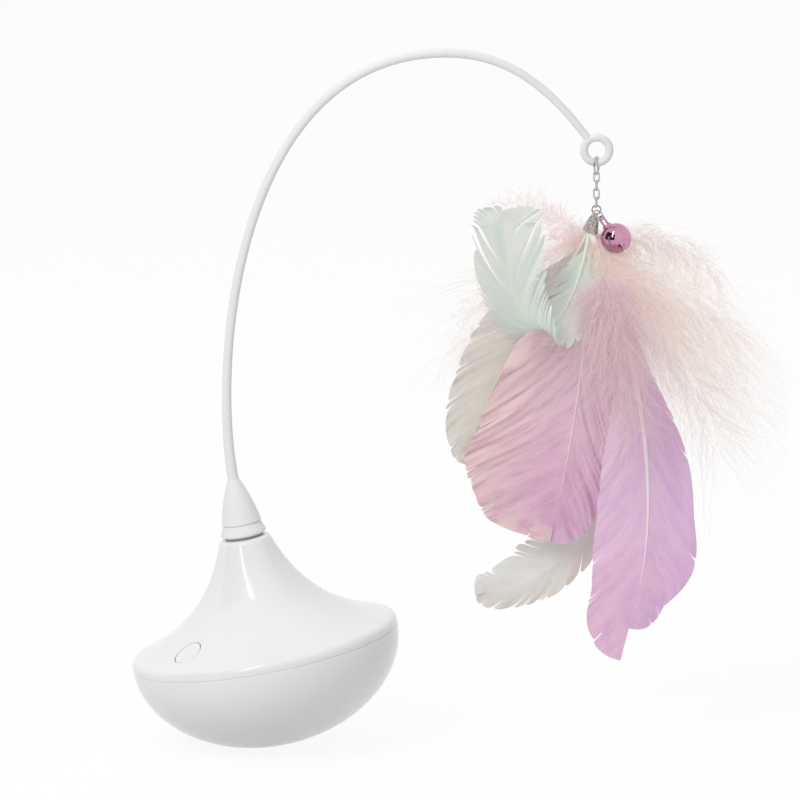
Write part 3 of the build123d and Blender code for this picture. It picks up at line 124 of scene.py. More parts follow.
class Shader:
    """A material's node tree, built by one general method and a few short ones."""

    def __init__(self, name: str, tree: bpy.types.NodeTree | None = None) -> None:
        """Empty the tree that is given, or make a material of that name and take its tree.

        Args:
            name: The name of a new material.
            tree: The tree of something else, such as the world.
        """
        if tree is None:
            self.material = bpy.data.materials.new(name)
            self.material.use_nodes = True
            tree = self.material.node_tree
        self.tree = tree
        self.tree.nodes.clear()

    def add(
        self,
        kind: str,
        settings: dict[str, Any] | None = None,
        inputs: dict[int | str, Any] | None = None,
        output: int | str = 0,
    ) -> Value:
        """Add any node.

        Args:
            kind: The node's type.
            settings: Its own settings; "stops" gives a ramp's positions and colours.
            inputs: Numbers, colours or links by socket.
            output: The socket to return.

        Returns:
            The chosen output.
        """
        node = self.tree.nodes.new(kind)
        for key, value in (settings or {}).items():
            if key == "stops":
                ramp = node.color_ramp
                while len(ramp.elements) < len(value):
                    ramp.elements.new(0.5)
                for element, (position, colour) in zip(ramp.elements, value):
                    element.position = position
                    element.color = (*colour, 1.0)
            else:
                setattr(node, key, value)
        for key, value in (inputs or {}).items():
            socket = node.inputs[key]
            if isinstance(value, Value):
                self.tree.links.new(value.socket, socket)
            elif isinstance(value, tuple) and socket.type == "RGBA":
                socket.default_value = (*value, 1.0)
            else:
                socket.default_value = value
        return Value(self, node.outputs[output])

    def place(self) -> Value:
        """Return the Object coordinates."""
        return self.add("ShaderNodeTexCoord", output="Object")

    def mark(self, name: str) -> Value:
        """Return one of the piece's own attributes."""
        return self.add("ShaderNodeAttribute", {"attribute_name": name}, output="Fac")

    def scaled(self, vector: Value, scale: Point) -> Value:
        """Return a vector stretched along each direction."""
        return self.add(
            "ShaderNodeVectorMath", {"operation": "MULTIPLY"}, {0: vector, 1: scale}
        )

    def join(self, x: Number, y: Number, z: Number = 0.0) -> Value:
        """Return a vector of three values."""
        return self.add("ShaderNodeCombineXYZ", inputs={0: x, 1: y, 2: z})

    def noise(self, vector: Value, scale: float, detail: float = 3.0) -> Value:
        """Return noise from 0 to 1 with that many cells a metre, or a unit."""
        return self.add(
            "ShaderNodeTexNoise",
            inputs={"Vector": vector, "Scale": scale, "Detail": detail, "Roughness": 0.55},
        )

    def cells(self, vector: Value, scale: float, output: str = "Distance") -> Value:
        """Return a cell pattern with that many cells a metre."""
        return self.add(
            "ShaderNodeTexVoronoi", inputs={"Vector": vector, "Scale": scale}, output=output
        )

    def blend(self, share: Number, first: Any, second: Any) -> Value:
        """Mix two colours by a share."""
        return self.add(
            "ShaderNodeMix", {"data_type": "RGBA"}, {0: share, 6: first, 7: second}, output=2
        )

    def ramp(self, share: Value, stops: list[tuple[float, Colour]]) -> Value:
        """Return the colour at a share along a row of stops."""
        return self.add("ShaderNodeValToRGB", {"stops": stops}, {0: share}, output="Color")

    def relief(self, height: Value, depth: float, strength: float = 1.0) -> Value:
        """Turn a height from 0 to 1 into a bump of that depth in metres."""
        return self.add(
            "ShaderNodeBump", inputs={"Strength": strength, "Distance": depth, "Height": height}
        )

    def end(self, surface: Value, kind: str = "ShaderNodeOutputMaterial") -> None:
        """Link a surface to a new output node of that kind."""
        output = self.tree.nodes.new(kind)
        self.tree.links.new(surface.socket, output.inputs["Surface"])

    def close(self, **sockets: Any) -> bpy.types.Material:
        """Add the surface shader and the output.

        Args:
            sockets: The surface's sockets, with underscores for spaces.

        Returns:
            The finished material.
        """
        inputs = {key.replace("_", " "): value for key, value in sockets.items()}
        self.end(self.add("ShaderNodeBsdfPrincipled", inputs=inputs))
        return self.material


@dataclass(frozen=True)
class Moulding:
    """Moulded plastic with a faint flow of tone, fine grain and a soft gloss."""

    name: str
    colour: Colour
    roughness: float = 0.2
    grain: float = 0.5 * MM
    relief: float = 0.0005 * MM
    flow_cells: float = 35.0
    flow_tone: float = 0.95
    flow_gloss: float = 0.06
    grain_gloss: float = 0.05

    def material(self) -> bpy.types.Material:
        """Make the material: tone and gloss drift slowly, the grain is a fine bump.

        Returns:
            The finished material.
        """
        shader = Shader(self.name)
        place = shader.place()
        flow = shader.noise(place, self.flow_cells, 2.0)
        fine = shader.noise(place, 1.0 / self.grain, 4.0)
        gloss = self.roughness + self.flow_gloss * (flow - 0.5)
        return shader.close(
            Base_Color=shader.blend(flow, self.colour, toned(self.colour, self.flow_tone)),
            Roughness=gloss + self.grain_gloss * (fine - 0.5),
            IOR=1.5,
            Normal=shader.relief(fine, self.relief),
        )


@dataclass(frozen=True)
class Metal:
    """Metal with drawn lines along one direction, or cast grain."""

    name: str
    colour: Colour
    roughness: float = 0.25
    lines: Point = (900.0, 900.0, 60.0)
    relief: float = 0.004 * MM
    # How much the broad patches darken: dulling, and painted reflection where it is large, as on the
    # bell.
    dulled: float = 0.15
    worn_cells: float = 180.0
    worn_gloss: float = 0.12
    drawn_cells: float = 3.0
    drawn_gloss: float = 0.08

    def material(self) -> bpy.types.Material:
        """Make the material: stretched noise draws lines, broad noise adds dulling and painted
        reflection.

        Returns:
            The finished material.
        """
        shader = Shader(self.name)
        place = shader.place()
        drawn = shader.noise(shader.scaled(place, self.lines), self.drawn_cells)
        wear_and_reflection = shader.noise(place, self.worn_cells)
        gloss = self.roughness + self.worn_gloss * (wear_and_reflection - 0.5)
        return shader.close(
            # Broad patches darken the base colour: dulling, and on the bell painted reflections of
            # dark surroundings.
            Base_Color=shader.blend(wear_and_reflection, self.colour, toned(self.colour, 1.0 - self.dulled)),
            Metallic=1.0,
            Roughness=gloss + self.drawn_gloss * (drawn - 0.5),
            Normal=shader.relief(drawn, self.relief),
        )


@dataclass(frozen=True)
class Glitter:
    """Fine flakes in clear glue over metal: each cell tilts and shines its own way."""

    name: str
    colour: Colour
    bright: Colour
    flake: float = 0.35 * MM
    relief: float = 0.16 * MM
    least_metal: float = 0.55
    more_metal: float = 0.4
    dullest: float = 0.42
    more_gloss: float = 0.25

    def material(self) -> bpy.types.Material:
        """Make the material: a random shade and height for every cell.

        Returns:
            The finished material.
        """
        shader = Shader(self.name)
        place = shader.place()
        picks = shader.cells(place, 1.0 / self.flake, "Color")
        pick = shader.add("ShaderNodeSeparateColor", inputs={0: picks}, output=0)
        wobble = shader.noise(place, 2.0 / self.flake, 2.0)
        return shader.close(
            Base_Color=shader.blend(pick ** 2.0, self.colour, self.bright),
            Metallic=self.least_metal + self.more_metal * pick,
            Roughness=self.dullest - self.more_gloss * pick,
            Normal=shader.relief(pick + wobble, self.relief),
        )


@dataclass(frozen=True)
class Foam:
    """Open-celled foam: round pits with soft rims, the pits darkened with painted shade."""

    name: str
    colour: Colour
    cell: float = 0.7 * MM
    relief: float = 0.15 * MM
    # How dark the painted shade in the pits is.
    pit_tone: float = 0.55

    def material(self) -> bpy.types.Material:
        """Make the material from a cell pattern's distance to its centres; painted shade darkens the
        pits.

        Returns:
            The finished material.
        """
        shader = Shader(self.name)
        pits = shader.cells(shader.place(), 1.0 / self.cell)
        return shader.close(
            # The pits' centres take a darker colour: painted shade in the pits.
            Base_Color=shader.blend(pits, toned(self.colour, self.pit_tone), self.colour),
            Roughness=0.95,
            Normal=shader.relief(pits, self.relief),
        )


@dataclass(frozen=True)
class Board:
    """A circuit board: solder mask over straight copper runs on a square pitch."""

    name: str
    colour: Colour
    pitch: float = 1.27 * MM
    relief: float = 0.035 * MM
    block_cells: float = 160.0
    grain_cells: float = 400.0

    def material(self) -> bpy.types.Material:
        """Make the material: stripes broken by blocks give the raised runs.

        Returns:
            The finished material.
        """
        shader = Shader(self.name)
        place = shader.place()
        stripes = shader.add(
            "ShaderNodeTexWave",
            {"wave_type": "BANDS", "bands_direction": "Y"},
            {"Vector": place, "Scale": 1.0 / (math.tau * self.pitch), "Distortion": 0.0},
        )
        blocks = shader.cells(place, self.block_cells, "Color")
        pick = shader.add("ShaderNodeSeparateColor", inputs={0: blocks}, output=0)
        runs = stripes.rise(0.55, 0.75) * pick.rise(0.35, 0.4)
        lighter = tuple(min(1.0, part * 1.9 + 0.02) for part in self.colour)
        return shader.close(
            Base_Color=shader.blend(runs, self.colour, lighter),
            Roughness=0.3 + 0.1 * shader.noise(place, self.grain_cells),
            Normal=shader.relief(runs, self.relief),
        )


@dataclass(frozen=True)
class VaneDye:
    """A dyed vane: colours along the feather, tints at its sides, streaks of barbs and a painted glow.
    """

    name: str
    along: tuple[tuple[float, Colour], ...]
    left: Colour
    right: Colour
    left_share: float
    right_share: float
    streak: Colour
    streak_share: float = 0.5
    cloud_share: float = 0.16
    barb_share: float = 0.3
    relief: float = 0.012 * MM
    glow: float = 0.1

    def material(self) -> bpy.types.Material:
        """Make the material from the marks that the vane's mesh carries.

        The colour runs along the feather, a little ahead or behind where a cloud says so.
        The sides then take their tints, coarse noise lays the streaks over them, and fine
        noise lightens single barbs.

        Returns:
            The finished material.
        """
        shader = Shader(self.name)
        station, reach, strand = (shader.mark(key) for key in ("station", "reach", "strand"))
        coarse = shader.noise(shader.join(11.0 * strand, 1.3 * reach), 2.0, 3.0)
        fine = shader.noise(shader.join(120.0 * strand, 2.0 * reach), 2.0, 2.0)
        cloud = shader.noise(shader.join(3.0 * station, 1.5 * reach, 4.0), 1.6, 2.0)
        colour = shader.ramp(station + self.cloud_share * (cloud - 0.5), list(self.along))
        to_left = (0.0 - reach).rise(0.05, 1.0) * self.left_share
        to_right = reach.rise(0.05, 1.0) * self.right_share
        colour = shader.blend(to_left, colour, self.left)
        colour = shader.blend(to_right, colour, self.right)
        colour = shader.blend(coarse.rise(0.4, 0.68) * self.streak_share, colour, self.streak)
        pale = shader.blend(0.5, self.left, WHITE_LIGHT)
        colour = shader.blend(fine.rise(0.35, 0.85) * self.barb_share, colour, pale)
        return shader.close(
            Base_Color=colour,
            Roughness=0.62 + 0.2 * (fine - 0.5),
            Specular_IOR_Level=0.35,
            Sheen_Weight=0.25,
            Sheen_Roughness=0.4,
            # Emission in the vane's own colour is a painted glow, standing in for light through the
            # barbs.
            Emission_Color=colour,
            Emission_Strength=self.glow,
            Normal=shader.relief(fine, self.relief, 0.5),
        )


@dataclass(frozen=True)
class QuillHorn:
    """A quill's horn: pale, with a faint painted glow for light through it, and fine uneven marks."""

    name: str
    root: Colour
    tip: Colour
    line_tone: float = 0.86
    line_share: float = 0.5
    relief: float = 0.02 * MM
    glow: float = 0.12

    def material(self) -> bpy.types.Material:
        """Make the material: it goes from the root's tint to the tip's along the quill.

        Returns:
            The finished material.
        """
        shader = Shader(self.name)
        station = shader.mark("station")
        lines = shader.noise(shader.join(30.0 * station, 9.0 * shader.mark("reach")), 3.0, 3.0)
        colour = shader.blend(station.rise(0.0, 1.0), self.root, self.tip)
        darker = toned(self.root, self.line_tone)
        return shader.close(
            Base_Color=shader.blend(lines.rise(0.45, 0.8) * self.line_share, colour, darker),
            Roughness=0.32 + 0.15 * lines,
            # Emission in the horn's own colour is a painted glow, standing in for light through the
            # horn.
            Emission_Color=colour,
            Emission_Strength=self.glow,
            Normal=shader.relief(lines, self.relief),
        )


@dataclass(frozen=True)
class DownDye:
    """Soft down: threads picked between three pale tints, lighter towards their ends, with a painted
    glow.
    """

    name: str
    deep: Colour
    middle: Colour
    pale: Colour
    pale_share: float = 0.6
    fleck_share: float = 0.3
    glow: float = 0.16

    def material(self) -> bpy.types.Material:
        """Make the material from each thread's own number and the share along it.

        Returns:
            The finished material.
        """
        shader = Shader(self.name)
        strand, station = shader.mark("strand"), shader.mark("station")
        colour = shader.ramp(strand, [(0.0, self.deep), (0.45, self.middle), (1.0, self.pale)])
        colour = shader.blend(station.rise(0.1, 1.0) * self.pale_share, colour, self.pale)
        flecks = shader.noise(shader.join(50.0 * strand, 12.0 * station), 3.0, 2.0)
        return shader.close(
            Base_Color=shader.blend(
                flecks.rise(0.5, 0.8) * self.fleck_share, colour, self.deep
            ),
            Roughness=0.8 + 0.1 * (flecks - 0.5),
            Specular_IOR_Level=0.2,
            Sheen_Weight=0.3,
            # Emission in the threads' own colour is a painted glow, standing in for light scattered
            # through the down.
            Emission_Color=colour,
            Emission_Strength=self.glow,
        )


class Finish(Enum):
    """The finish of each of the record's slots that no feather or plume wears."""

    white_shell = Moulding("white_shell_gloss", shade(239, 239, 240), 0.16)
    white_wand = Moulding("white_wand_gloss", shade(239, 239, 240), 0.5)
    dark_washer = Moulding("washer_rubber", shade(158, 158, 160), 0.6, relief=0.02 * MM)
    weight_steel = Metal("weight_casting", shade(150, 152, 156), 0.45, (500.0, 500.0, 500.0))
    screw_steel = Metal("screw_zinc", shade(190, 192, 198), 0.28, (900.0, 900.0, 200.0))
    foam = Foam("pad_foam", shade(92, 96, 104))
    cell_wrap = Moulding("cell_sleeve", shade(58, 96, 168), 0.3, relief=0.01 * MM)
    switch_black = Moulding("switch_body", shade(34, 34, 36), 0.45, relief=0.01 * MM)
    board_green = Board("board_mask", shade(24, 92, 52))
    port_steel = Metal("socket_shell", shade(196, 198, 202), 0.22)
    gear_white = Moulding("gear_acetal", shade(236, 235, 228), 0.35, relief=0.006 * MM)
    shaft_steel = Metal("shaft_ground", shade(198, 200, 204), 0.16, (1200.0, 1200.0, 100.0))
    case_grey = Moulding("case_matte", shade(122, 126, 132), 0.5, relief=0.015 * MM)
    motor_can = Metal("motor_can_plate", shade(186, 188, 192), 0.26)
    magnet = Moulding("magnet_ferrite", shade(46, 46, 50), 0.65, relief=0.03 * MM)
    terminal_brass = Metal("terminal_brass", shade(212, 178, 104), 0.3)
    chain_metal = Metal("chain_nickel", shade(206, 204, 204), 0.14, (600.0, 600.0, 600.0))
    glitter_cap = Glitter("cap_glitter", shade(166, 154, 150), shade(246, 240, 236))
    # The bell's strong darkening in broad patches is painted reflection of dark surroundings on its
    # plating.
    bell_pink = Metal(
        "bell_pink_plate", shade(230, 168, 200), 0.12, (400.0, 400.0, 400.0), 0.001 * MM, 0.55
    )
    pellet_steel = Metal("pellet_ball", shade(190, 190, 194), 0.3)


def bezier(points: np.ndarray, share: np.ndarray) -> np.ndarray:
    """Return points on a cubic curve: the usual weights of its four control points.

    Args:
        points: The control points, four rows of three.
        share: How far along the curve, 0 to 1, in any array shape.

    Returns:
        One point for each share.
    """
    far = share[..., None]
    near = 1 - far
    return (
        near ** 3 * points[0]
        + 3 * near ** 2 * far * points[1]
        + 3 * near * far ** 2 * points[2]
        + far ** 3 * points[3]
    )


def bezier_way(points: np.ndarray, share: np.ndarray) -> np.ndarray:
    """Return the direction on a cubic curve: the weights of its three steps, made one long.

    Args:
        points: The control points, four rows of three.
        share: How far along the curve, 0 to 1, in any array shape.

    Returns:
        One unit vector for each share.
    """
    far = share[..., None]
    near = 1 - far
    slope = (
        near ** 2 * (points[1] - points[0])
        + 2 * near * far * (points[2] - points[1])
        + far ** 2 * (points[3] - points[2])
    )
    return unit(slope)


def unit(vectors: np.ndarray) -> np.ndarray:
    """Return vectors made one long."""
    return vectors / np.maximum(np.linalg.norm(vectors, axis=-1, keepdims=True), 1e-12)


def eased(share: np.ndarray, stations: np.ndarray, heights: np.ndarray) -> np.ndarray:
    """Return heights between stations, joined by cubic pieces with averaged slopes.

    Args:
        share: Where the heights are wanted, in any array shape.
        stations: The places where they are known, in rising order.
        heights: The height at each station.

    Returns:
        One height for each share.
    """
    slopes = np.gradient(heights, stations)
    index = np.clip(np.searchsorted(stations, share) - 1, 0, len(stations) - 2)
    step = stations[index + 1] - stations[index]
    far = np.clip((share - stations[index]) / step, 0, 1)
    near = 1 - far
    return (
        (1 + 2 * far) * near ** 2 * heights[index]
        + far * near ** 2 * step * slopes[index]
        + far ** 2 * (3 - 2 * far) * heights[index + 1]
        - far ** 2 * near * step * slopes[index + 1]
    )


def ripples(
    rows: tuple[Point, ...], along: np.ndarray, out: np.ndarray, phases: np.ndarray
) -> np.ndarray:
    """Add up sine waves: height times sin(turns along + skew out + phase).

    Args:
        rows: The height, the turns and the skew of each wave.
        along: The place along the feather.
        out: The place across it.
        phases: Each wave's start.

    Returns:
        The sum, in the shape of the places.
    """
    return sum(
        height * np.sin(turns * along + skew * out + phase)
        for (height, turns, skew), phase in zip(rows, phases)
    )


def mesh_piece(
    name: str, points: np.ndarray, faces: np.ndarray, marks: dict[str, np.ndarray]
) -> bpy.types.Object:
    """Make a piece from arrays.

    Args:
        name: The piece's name.
        points: Its vertices, in metres.
        faces: Its triangles or quads, as rows of vertex numbers.
        marks: One number for each vertex, by attribute name.

    Returns:
        The object, at the origin.
    """
    count, sides = faces.shape
    mesh = bpy.data.meshes.new(name)
    mesh.vertices.add(len(points))
    mesh.vertices.foreach_set("co", points.astype(np.float32).ravel())
    mesh.loops.add(count * sides)
    mesh.loops.foreach_set("vertex_index", faces.astype(np.int32).ravel())
    mesh.polygons.add(count)
    mesh.polygons.foreach_set("loop_start", np.arange(count, dtype=np.int32) * sides)
    mesh.polygons.foreach_set("use_smooth", np.ones(count, bool))
    for key, numbers in marks.items():
        mark = mesh.attributes.new(key, "FLOAT", "POINT")
        mark.data.foreach_set("value", numbers.astype(np.float32).ravel())
    mesh.update(calc_edges=True)
    mesh.validate()
    piece = bpy.data.objects.new(name, mesh)
    bpy.context.scene.collection.objects.link(piece)
    return piece


def ribbons(rails: np.ndarray) -> np.ndarray:
    """Return the quads of many ribbons, each with two rails.

    Args:
        rails: An array whose first three sizes are ribbons, steps and the two rails.

    Returns:
        Rows of four vertex numbers.
    """
    count, steps = rails.shape[:2]
    numbers = np.arange(count * steps * 2).reshape(count, steps, 2)
    corners = (numbers[:, :-1, 0], numbers[:, 1:, 0], numbers[:, 1:, 1], numbers[:, :-1, 1])
    return np.stack(corners, -1).reshape(-1, 4)


def tube(centres: np.ndarray, first: np.ndarray, second: np.ndarray, radii: np.ndarray,
         sides: int) -> tuple[np.ndarray, np.ndarray]:
    """Carry a circle along a path: centre + radius (cos a first + sin a second).

    Args:
        centres: The path's points.
        first: A unit direction across the path at each point.
        second: The other direction across it.
        radii: The radius at each point.
        sides: The points round the circle.

    Returns:
        The vertices and the quads, open at both ends.
    """
    turn = np.arange(sides) * math.tau / sides
    ring = np.cos(turn)[:, None] * first[:, None] + np.sin(turn)[:, None] * second[:, None]
    points = centres[:, None] + radii[:, None, None] * ring
    numbers = np.arange(len(centres) * sides).reshape(len(centres), sides)
    beside = np.roll(numbers, -1, 1)
    quads = np.stack((numbers[:-1], beside[:-1], beside[1:], numbers[1:]), -1)
    return points.reshape(-1, 3), quads.reshape(-1, 4)


@dataclass
class Cap:
    """Where the quills leave the end cap."""

    mouth: Point = (118.195, 0.0, 181.910)
    way: Point = (0.2756, 0.0, 0.9613)
    side: Point = (0.9613, 0.0, -0.2756)
    rings: tuple[float, float, float] = (0.0, 0.82, 1.4)
    depth: float = 3.0

    def spot(self, ring: int, place: int) -> np.ndarray:
        """Return a quill's place in the mouth, on one of its rings of six.

        Args:
            ring: The ring's number, from the middle outwards.
            place: The place on it, counted round.

        Returns:
            The point, in millimetres.
        """
        turn = math.radians(60 * place + 30 * (ring - 1))
        sideways = self.rings[ring] * np.array(
            (math.cos(turn) * self.side[0], math.sin(turn), math.cos(turn) * self.side[2])
        )
        return np.array(self.mouth) + sideways


@dataclass
class Spine:
    """The curve of one quill, with the frame that a vane stands in.

    The curve starts at a place in the cap's mouth. Its other three control points, the
    handles, are given from there in shares of the length, which is in millimetres.
    """

    ring: int
    place: int
    handles: tuple[Point, Point, Point]
    length: float
    across_ends: tuple[Point, Point] | None = None
    cap: Cap = field(default_factory=Cap)

    def controls(self) -> np.ndarray:
        """Work out the curve's control points: the mouth's place, then each handle from it.

        Returns:
            Four points, in metres.
        """
        mouth = self.cap.spot(self.ring, self.place)
        points = [mouth] + [mouth + self.length * np.array(handle) for handle in self.handles]
        return np.array(points) * MM

    def frame(self, share: np.ndarray) -> tuple[np.ndarray, ...]:
        """Return centre, direction, the way across and the way out of the vane.

        Args:
            share: How far along the quill, 0 to 1.

        Returns:
            Four arrays of vectors.
        """
        controls = self.controls()
        inside = np.clip(share, 0.0, 1.0)
        centre, way = bezier(controls, inside), bezier_way(controls, inside)
        centre = centre + way * ((share - inside) * self.length * MM)[..., None]
        if self.across_ends:
            first, last = (np.array(end) for end in self.across_ends)
            across = first * (1 - share[..., None]) + last * share[..., None]
        else:
            across = np.cross(np.array((0.0, -1.0, 0.0)), way)
        across = unit(across - way * np.sum(across * way, -1, keepdims=True))
        return centre, way, across, np.cross(way, across)


STATIONS = np.array((0.0, 0.04, 0.12, 0.25, 0.38, 0.48, 0.6, 0.75, 0.9, 1.0))
WAVES = ((1.0, 11.0, 2.5), (0.5, 23.0, -4.0))
FOLDS = ((1.0, 33.0, 0.0), (0.6, 61.0, 1.5), (0.3, 127.0, 0.0))
ONE_FACE = np.array(((0, 1, 2, 3),))


@dataclass
class Parts:
    """Vertices, triangles, marks and finishes that are gathered into one piece."""

    points: list[np.ndarray] = field(default_factory=list)
    faces: list[np.ndarray] = field(default_factory=list)
    marks: dict[str, list[np.ndarray]] = field(
        default_factory=lambda: {"station": [], "reach": [], "strand": []}
    )
    finishes: list[np.ndarray] = field(default_factory=list)
    total: int = 0

    def add(
        self, points: np.ndarray, faces: np.ndarray, marks: tuple[np.ndarray, ...], finish: int
    ) -> None:
        """Add one set of surfaces.

        Args:
            points: Vertices in any array shape that ends with three.
            faces: Rows of three or four vertex numbers, counted from 0 in this set.
            marks: Station, reach and strand, each in the vertices' own shape or one that
                stretches to it.
            finish: Which of the piece's materials the set wears.
        """
        if faces.shape[1] == 4:
            faces = np.concatenate((faces[:, (0, 1, 2)], faces[:, (0, 2, 3)]))
        self.faces.append(faces + self.total)
        self.finishes.append(np.full(len(faces), finish))
        self.points.append(points.reshape(-1, 3))
        self.total += len(self.points[-1])
        for rows, mark in zip(self.marks.values(), marks):
            rows.append(np.broadcast_to(mark, points.shape[:-1]).ravel())

    def piece(
        self, name: str, node: str, slot: str, materials: list[bpy.types.Material]
    ) -> bpy.types.Object:
        """Make the piece, dress it and put it in the CAD node's place on the lure.

        Args:
            name: The piece's name.
            node: The CAD node that it stands in for.
            slot: The record's material slot; not used.
            materials: Its materials, in the order of the finishes' numbers.

        Returns:
            The piece.
        """
        made = mesh_piece(
            name,
            np.concatenate(self.points),
            np.concatenate(self.faces),
            {key: np.concatenate(rows) for key, rows in self.marks.items()},
        )
        for material in materials:
            made.data.materials.append(material)
        made.data.polygons.foreach_set(
            "material_index", np.concatenate(self.finishes).astype(np.int32)
        )
        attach(made, "lure")
        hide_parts(node)
        log.info("%s: %d triangles", name, len(made.data.polygons))
        return made


@dataclass
class Feather:
    """A feather: a horn quill and two smooth vanes that part here and there."""

    node: str
    spine: Spine
    half_width: float
    left: tuple[float, ...]
    right: tuple[float, ...]
    dye: VaneDye
    horn: QuillHorn
    seed: int
    slope: float = 0.16
    first_barb: float = 0.03
    last_barb: float = 1.0
    tip_from: float = 0.8
    foot: float = 0.25
    beyond: tuple[float, float] = (0.0, 0.0)
    barbs: int = 560
    steps: int = 18
    clumps: int = 14
    open_from: float = 0.55
    pull: float = 0.3
    notch: float = 0.04
    fray: float = 0.02
    tuft_lift: float = 0.35
    camber: float = 0.12
    waves: float = 0.5
    folds: float = 0.35
    quill_radius: float = 0.42
    quill_end: float = 0.95
    quill_tip: float = 0.01
    stem_radius: float = 0.2
    quill_steps: int = 90
    quill_sides: int = 10

    def partings(self, rng: np.random.Generator, root: np.ndarray) -> tuple[np.ndarray, ...]:
        """Gather the barbs into clumps, split at random places along the quill.

        Args:
            rng: The vane's own random numbers.
            root: Each barb's root, as a share of the quill.

        Returns:
            Each barb's clump, the clump's middle and half its width, each clump's reach
            where it opens, and how far each barb is then drawn to the middle.
        """
        splits = np.sort(rng.uniform(self.first_barb, 1.0, self.clumps - 1))
        clump = np.searchsorted(splits, root)
        edges = np.concatenate(((self.first_barb,), splits, (1.0,)))
        middle = 0.5 * (edges[clump] + edges[clump + 1])
        half = 0.5 * (edges[clump + 1] - edges[clump]) + 1e-6
        opening = rng.uniform(self.open_from, 1.0, self.clumps)
        closing = (self.pull * rng.uniform(0.3, 1.0, self.clumps))[clump]
        return clump, middle, half, opening, closing

    def stations(self, side: int, moved: np.ndarray, reach: np.ndarray) -> np.ndarray:
        """Return how far along the quill each point of the barbs stands.

        A barb climbs from its root by a power of its reach, by less where little of the
        quill is left over, and by less near the quill's foot.

        Args:
            side: -1 for the left vane and 1 for the right one.
            moved: The points' roots, drawn to their clumps.
            reach: How far out they are, 0 to 1.

        Returns:
            Shares of the quill, which may pass 1 by a little.
        """
        left_over = 1.0 + self.beyond[max(side, 0)] - moved
        climb = self.slope * left_over / (left_over + self.slope)
        climb = climb * np.clip(0.2 + 0.8 * (moved - self.first_barb) / self.foot, 0.2, 1.0)
        return moved + climb * reach ** 0.85

    def web(
        self, side: int, clump: np.ndarray, opening: np.ndarray, reach: np.ndarray
    ) -> np.ndarray:
        """Join neighbouring barbs, but not past the opening between two clumps.

        Args:
            side: -1 for the left vane and 1 for the right one.
            clump: Each barb's clump.
            opening: The reach at which each clump opens.
            reach: How far out each point is.

        Returns:
            The quads, which face the same way on both vanes.
        """
        numbers = np.arange(reach.size).reshape(reach.shape)
        quads = np.stack(
            (numbers[:-1, :-1], numbers[1:, :-1], numbers[1:, 1:], numbers[:-1, 1:]), -1
        )
        same = (clump[:-1] == clump[1:])[:, None]
        before = reach[:-1, 1:] <= np.minimum(opening[clump[:-1]], opening[clump[1:]])[:, None]
        quads = quads[same | before]
        return quads[:, ::-1] if side > 0 else quads

    def vane(self, side: int, parts: Parts) -> None:
        """Work out one vane.

        Barbs leave the quill at even steps. Along a barb the station climbs with a power
        of how far out it is, and less and less where the quill ends, and its distance
        from the quill is that share of the vane's width there, which the last barbs close
        to a round end. Every place is worked out from the barb's root and its reach alone,
        so barbs of unlike lengths lie in one surface. Neighbouring barbs are
        joined into one smooth web. Past a clump's opening its barbs draw together and
        the web stops between clumps, which leaves a parting. Heights follow smooth waves
        of station and reach, and folds that run along the barbs.

        Args:
            side: -1 for the left vane and 1 for the right one.
            parts: The set that the vane is added to.
        """
        rng = np.random.default_rng(self.seed + side)
        root = np.linspace(self.first_barb, self.last_barb, self.barbs)
        clump, middle, half, opening, closing = self.partings(rng, root)
        off_middle = np.abs(root - middle) / half
        shorter = self.notch * (rng.uniform(0.0, 1.0, self.clumps)[clump] + off_middle ** 4)
        shorter = shorter + self.fray * rng.uniform(0.0, 1.0, self.barbs)
        reach = np.linspace(0.0, 1.0, self.steps)[None] * (1.0 - shorter)[:, None]
        opened = opening[clump][:, None]
        drawn = np.clip((reach - opened) / (1.02 - opened), 0, 1)
        moved = root[:, None] + ((middle - root) * closing)[:, None] * drawn ** 1.3
        station = self.stations(side, moved, reach)
        near_end = np.clip((root - self.tip_from) / (self.last_barb - self.tip_from), 0, 1)
        rounded = np.sqrt(1.0 - near_end ** 2)[:, None]
        shares = np.array(self.left if side < 0 else self.right)
        width = self.half_width * MM * np.maximum(eased(station, STATIONS, shares), 0.0)
        lateral = reach * width * rounded
        lifted = rng.normal(0.0, self.tuft_lift * MM, self.clumps)[clump][:, None] * drawn ** 1.5
        phases = rng.uniform(0, math.tau, len(WAVES) + len(FOLDS))
        wave = self.waves * MM * reach * ripples(WAVES, station, reach, phases)
        fold = self.folds * MM * reach * ripples(FOLDS, moved, reach, phases[len(WAVES):])
        height = -self.camber * lateral + lifted + wave + fold
        centre, _, across, lift = self.spine.frame(station)
        points = centre + side * across * lateral[..., None] + lift * height[..., None]
        faces = self.web(side, clump, opening, reach)
        parts.add(points, faces, (station, side * reach, root[:, None]), 0)

    def quill(self, parts: Parts) -> None:
        """Work out the quill: a circle carried along the spine, thinner to its tip.

        Its radius falls by a power of the share along it. A short stem goes on from its
        foot into the cap.

        Args:
            parts: The set that the quill is added to.
        """
        share = np.linspace(0.0, self.quill_end, self.quill_steps)
        centre, _, across, lift = self.spine.frame(share)
        stem = centre[:1] + np.array(self.spine.cap.way) * self.spine.cap.depth * MM
        centre = np.concatenate((stem, centre))
        across = np.concatenate((across[:1], across))
        lift = np.concatenate((lift[:1], lift))
        share = np.concatenate(((0.0,), share))
        radii = self.quill_radius * MM * (1.0 - 0.9 * (share / self.quill_end) ** 1.3)
        radii[0], radii[-1] = self.stem_radius * MM, self.quill_tip * MM
        points, faces = tube(centre, across, lift, radii, self.quill_sides)
        turn = np.tile(np.arange(self.quill_sides) / self.quill_sides, len(share))
        parts.add(points, faces, (np.repeat(share, self.quill_sides), turn, turn), 1)

    def build(self) -> bpy.types.Object:
        """Make the feather as one piece.

        Returns:
            The piece, which rides with the lure.
        """
        parts = Parts()
        self.vane(-1, parts)
        self.vane(1, parts)
        self.quill(parts)
        return parts.piece(
            self.node + "_barbs", self.node, "feather_" + self.node.split("_")[0],
            [self.dye.material(), self.horn.material()],
        )


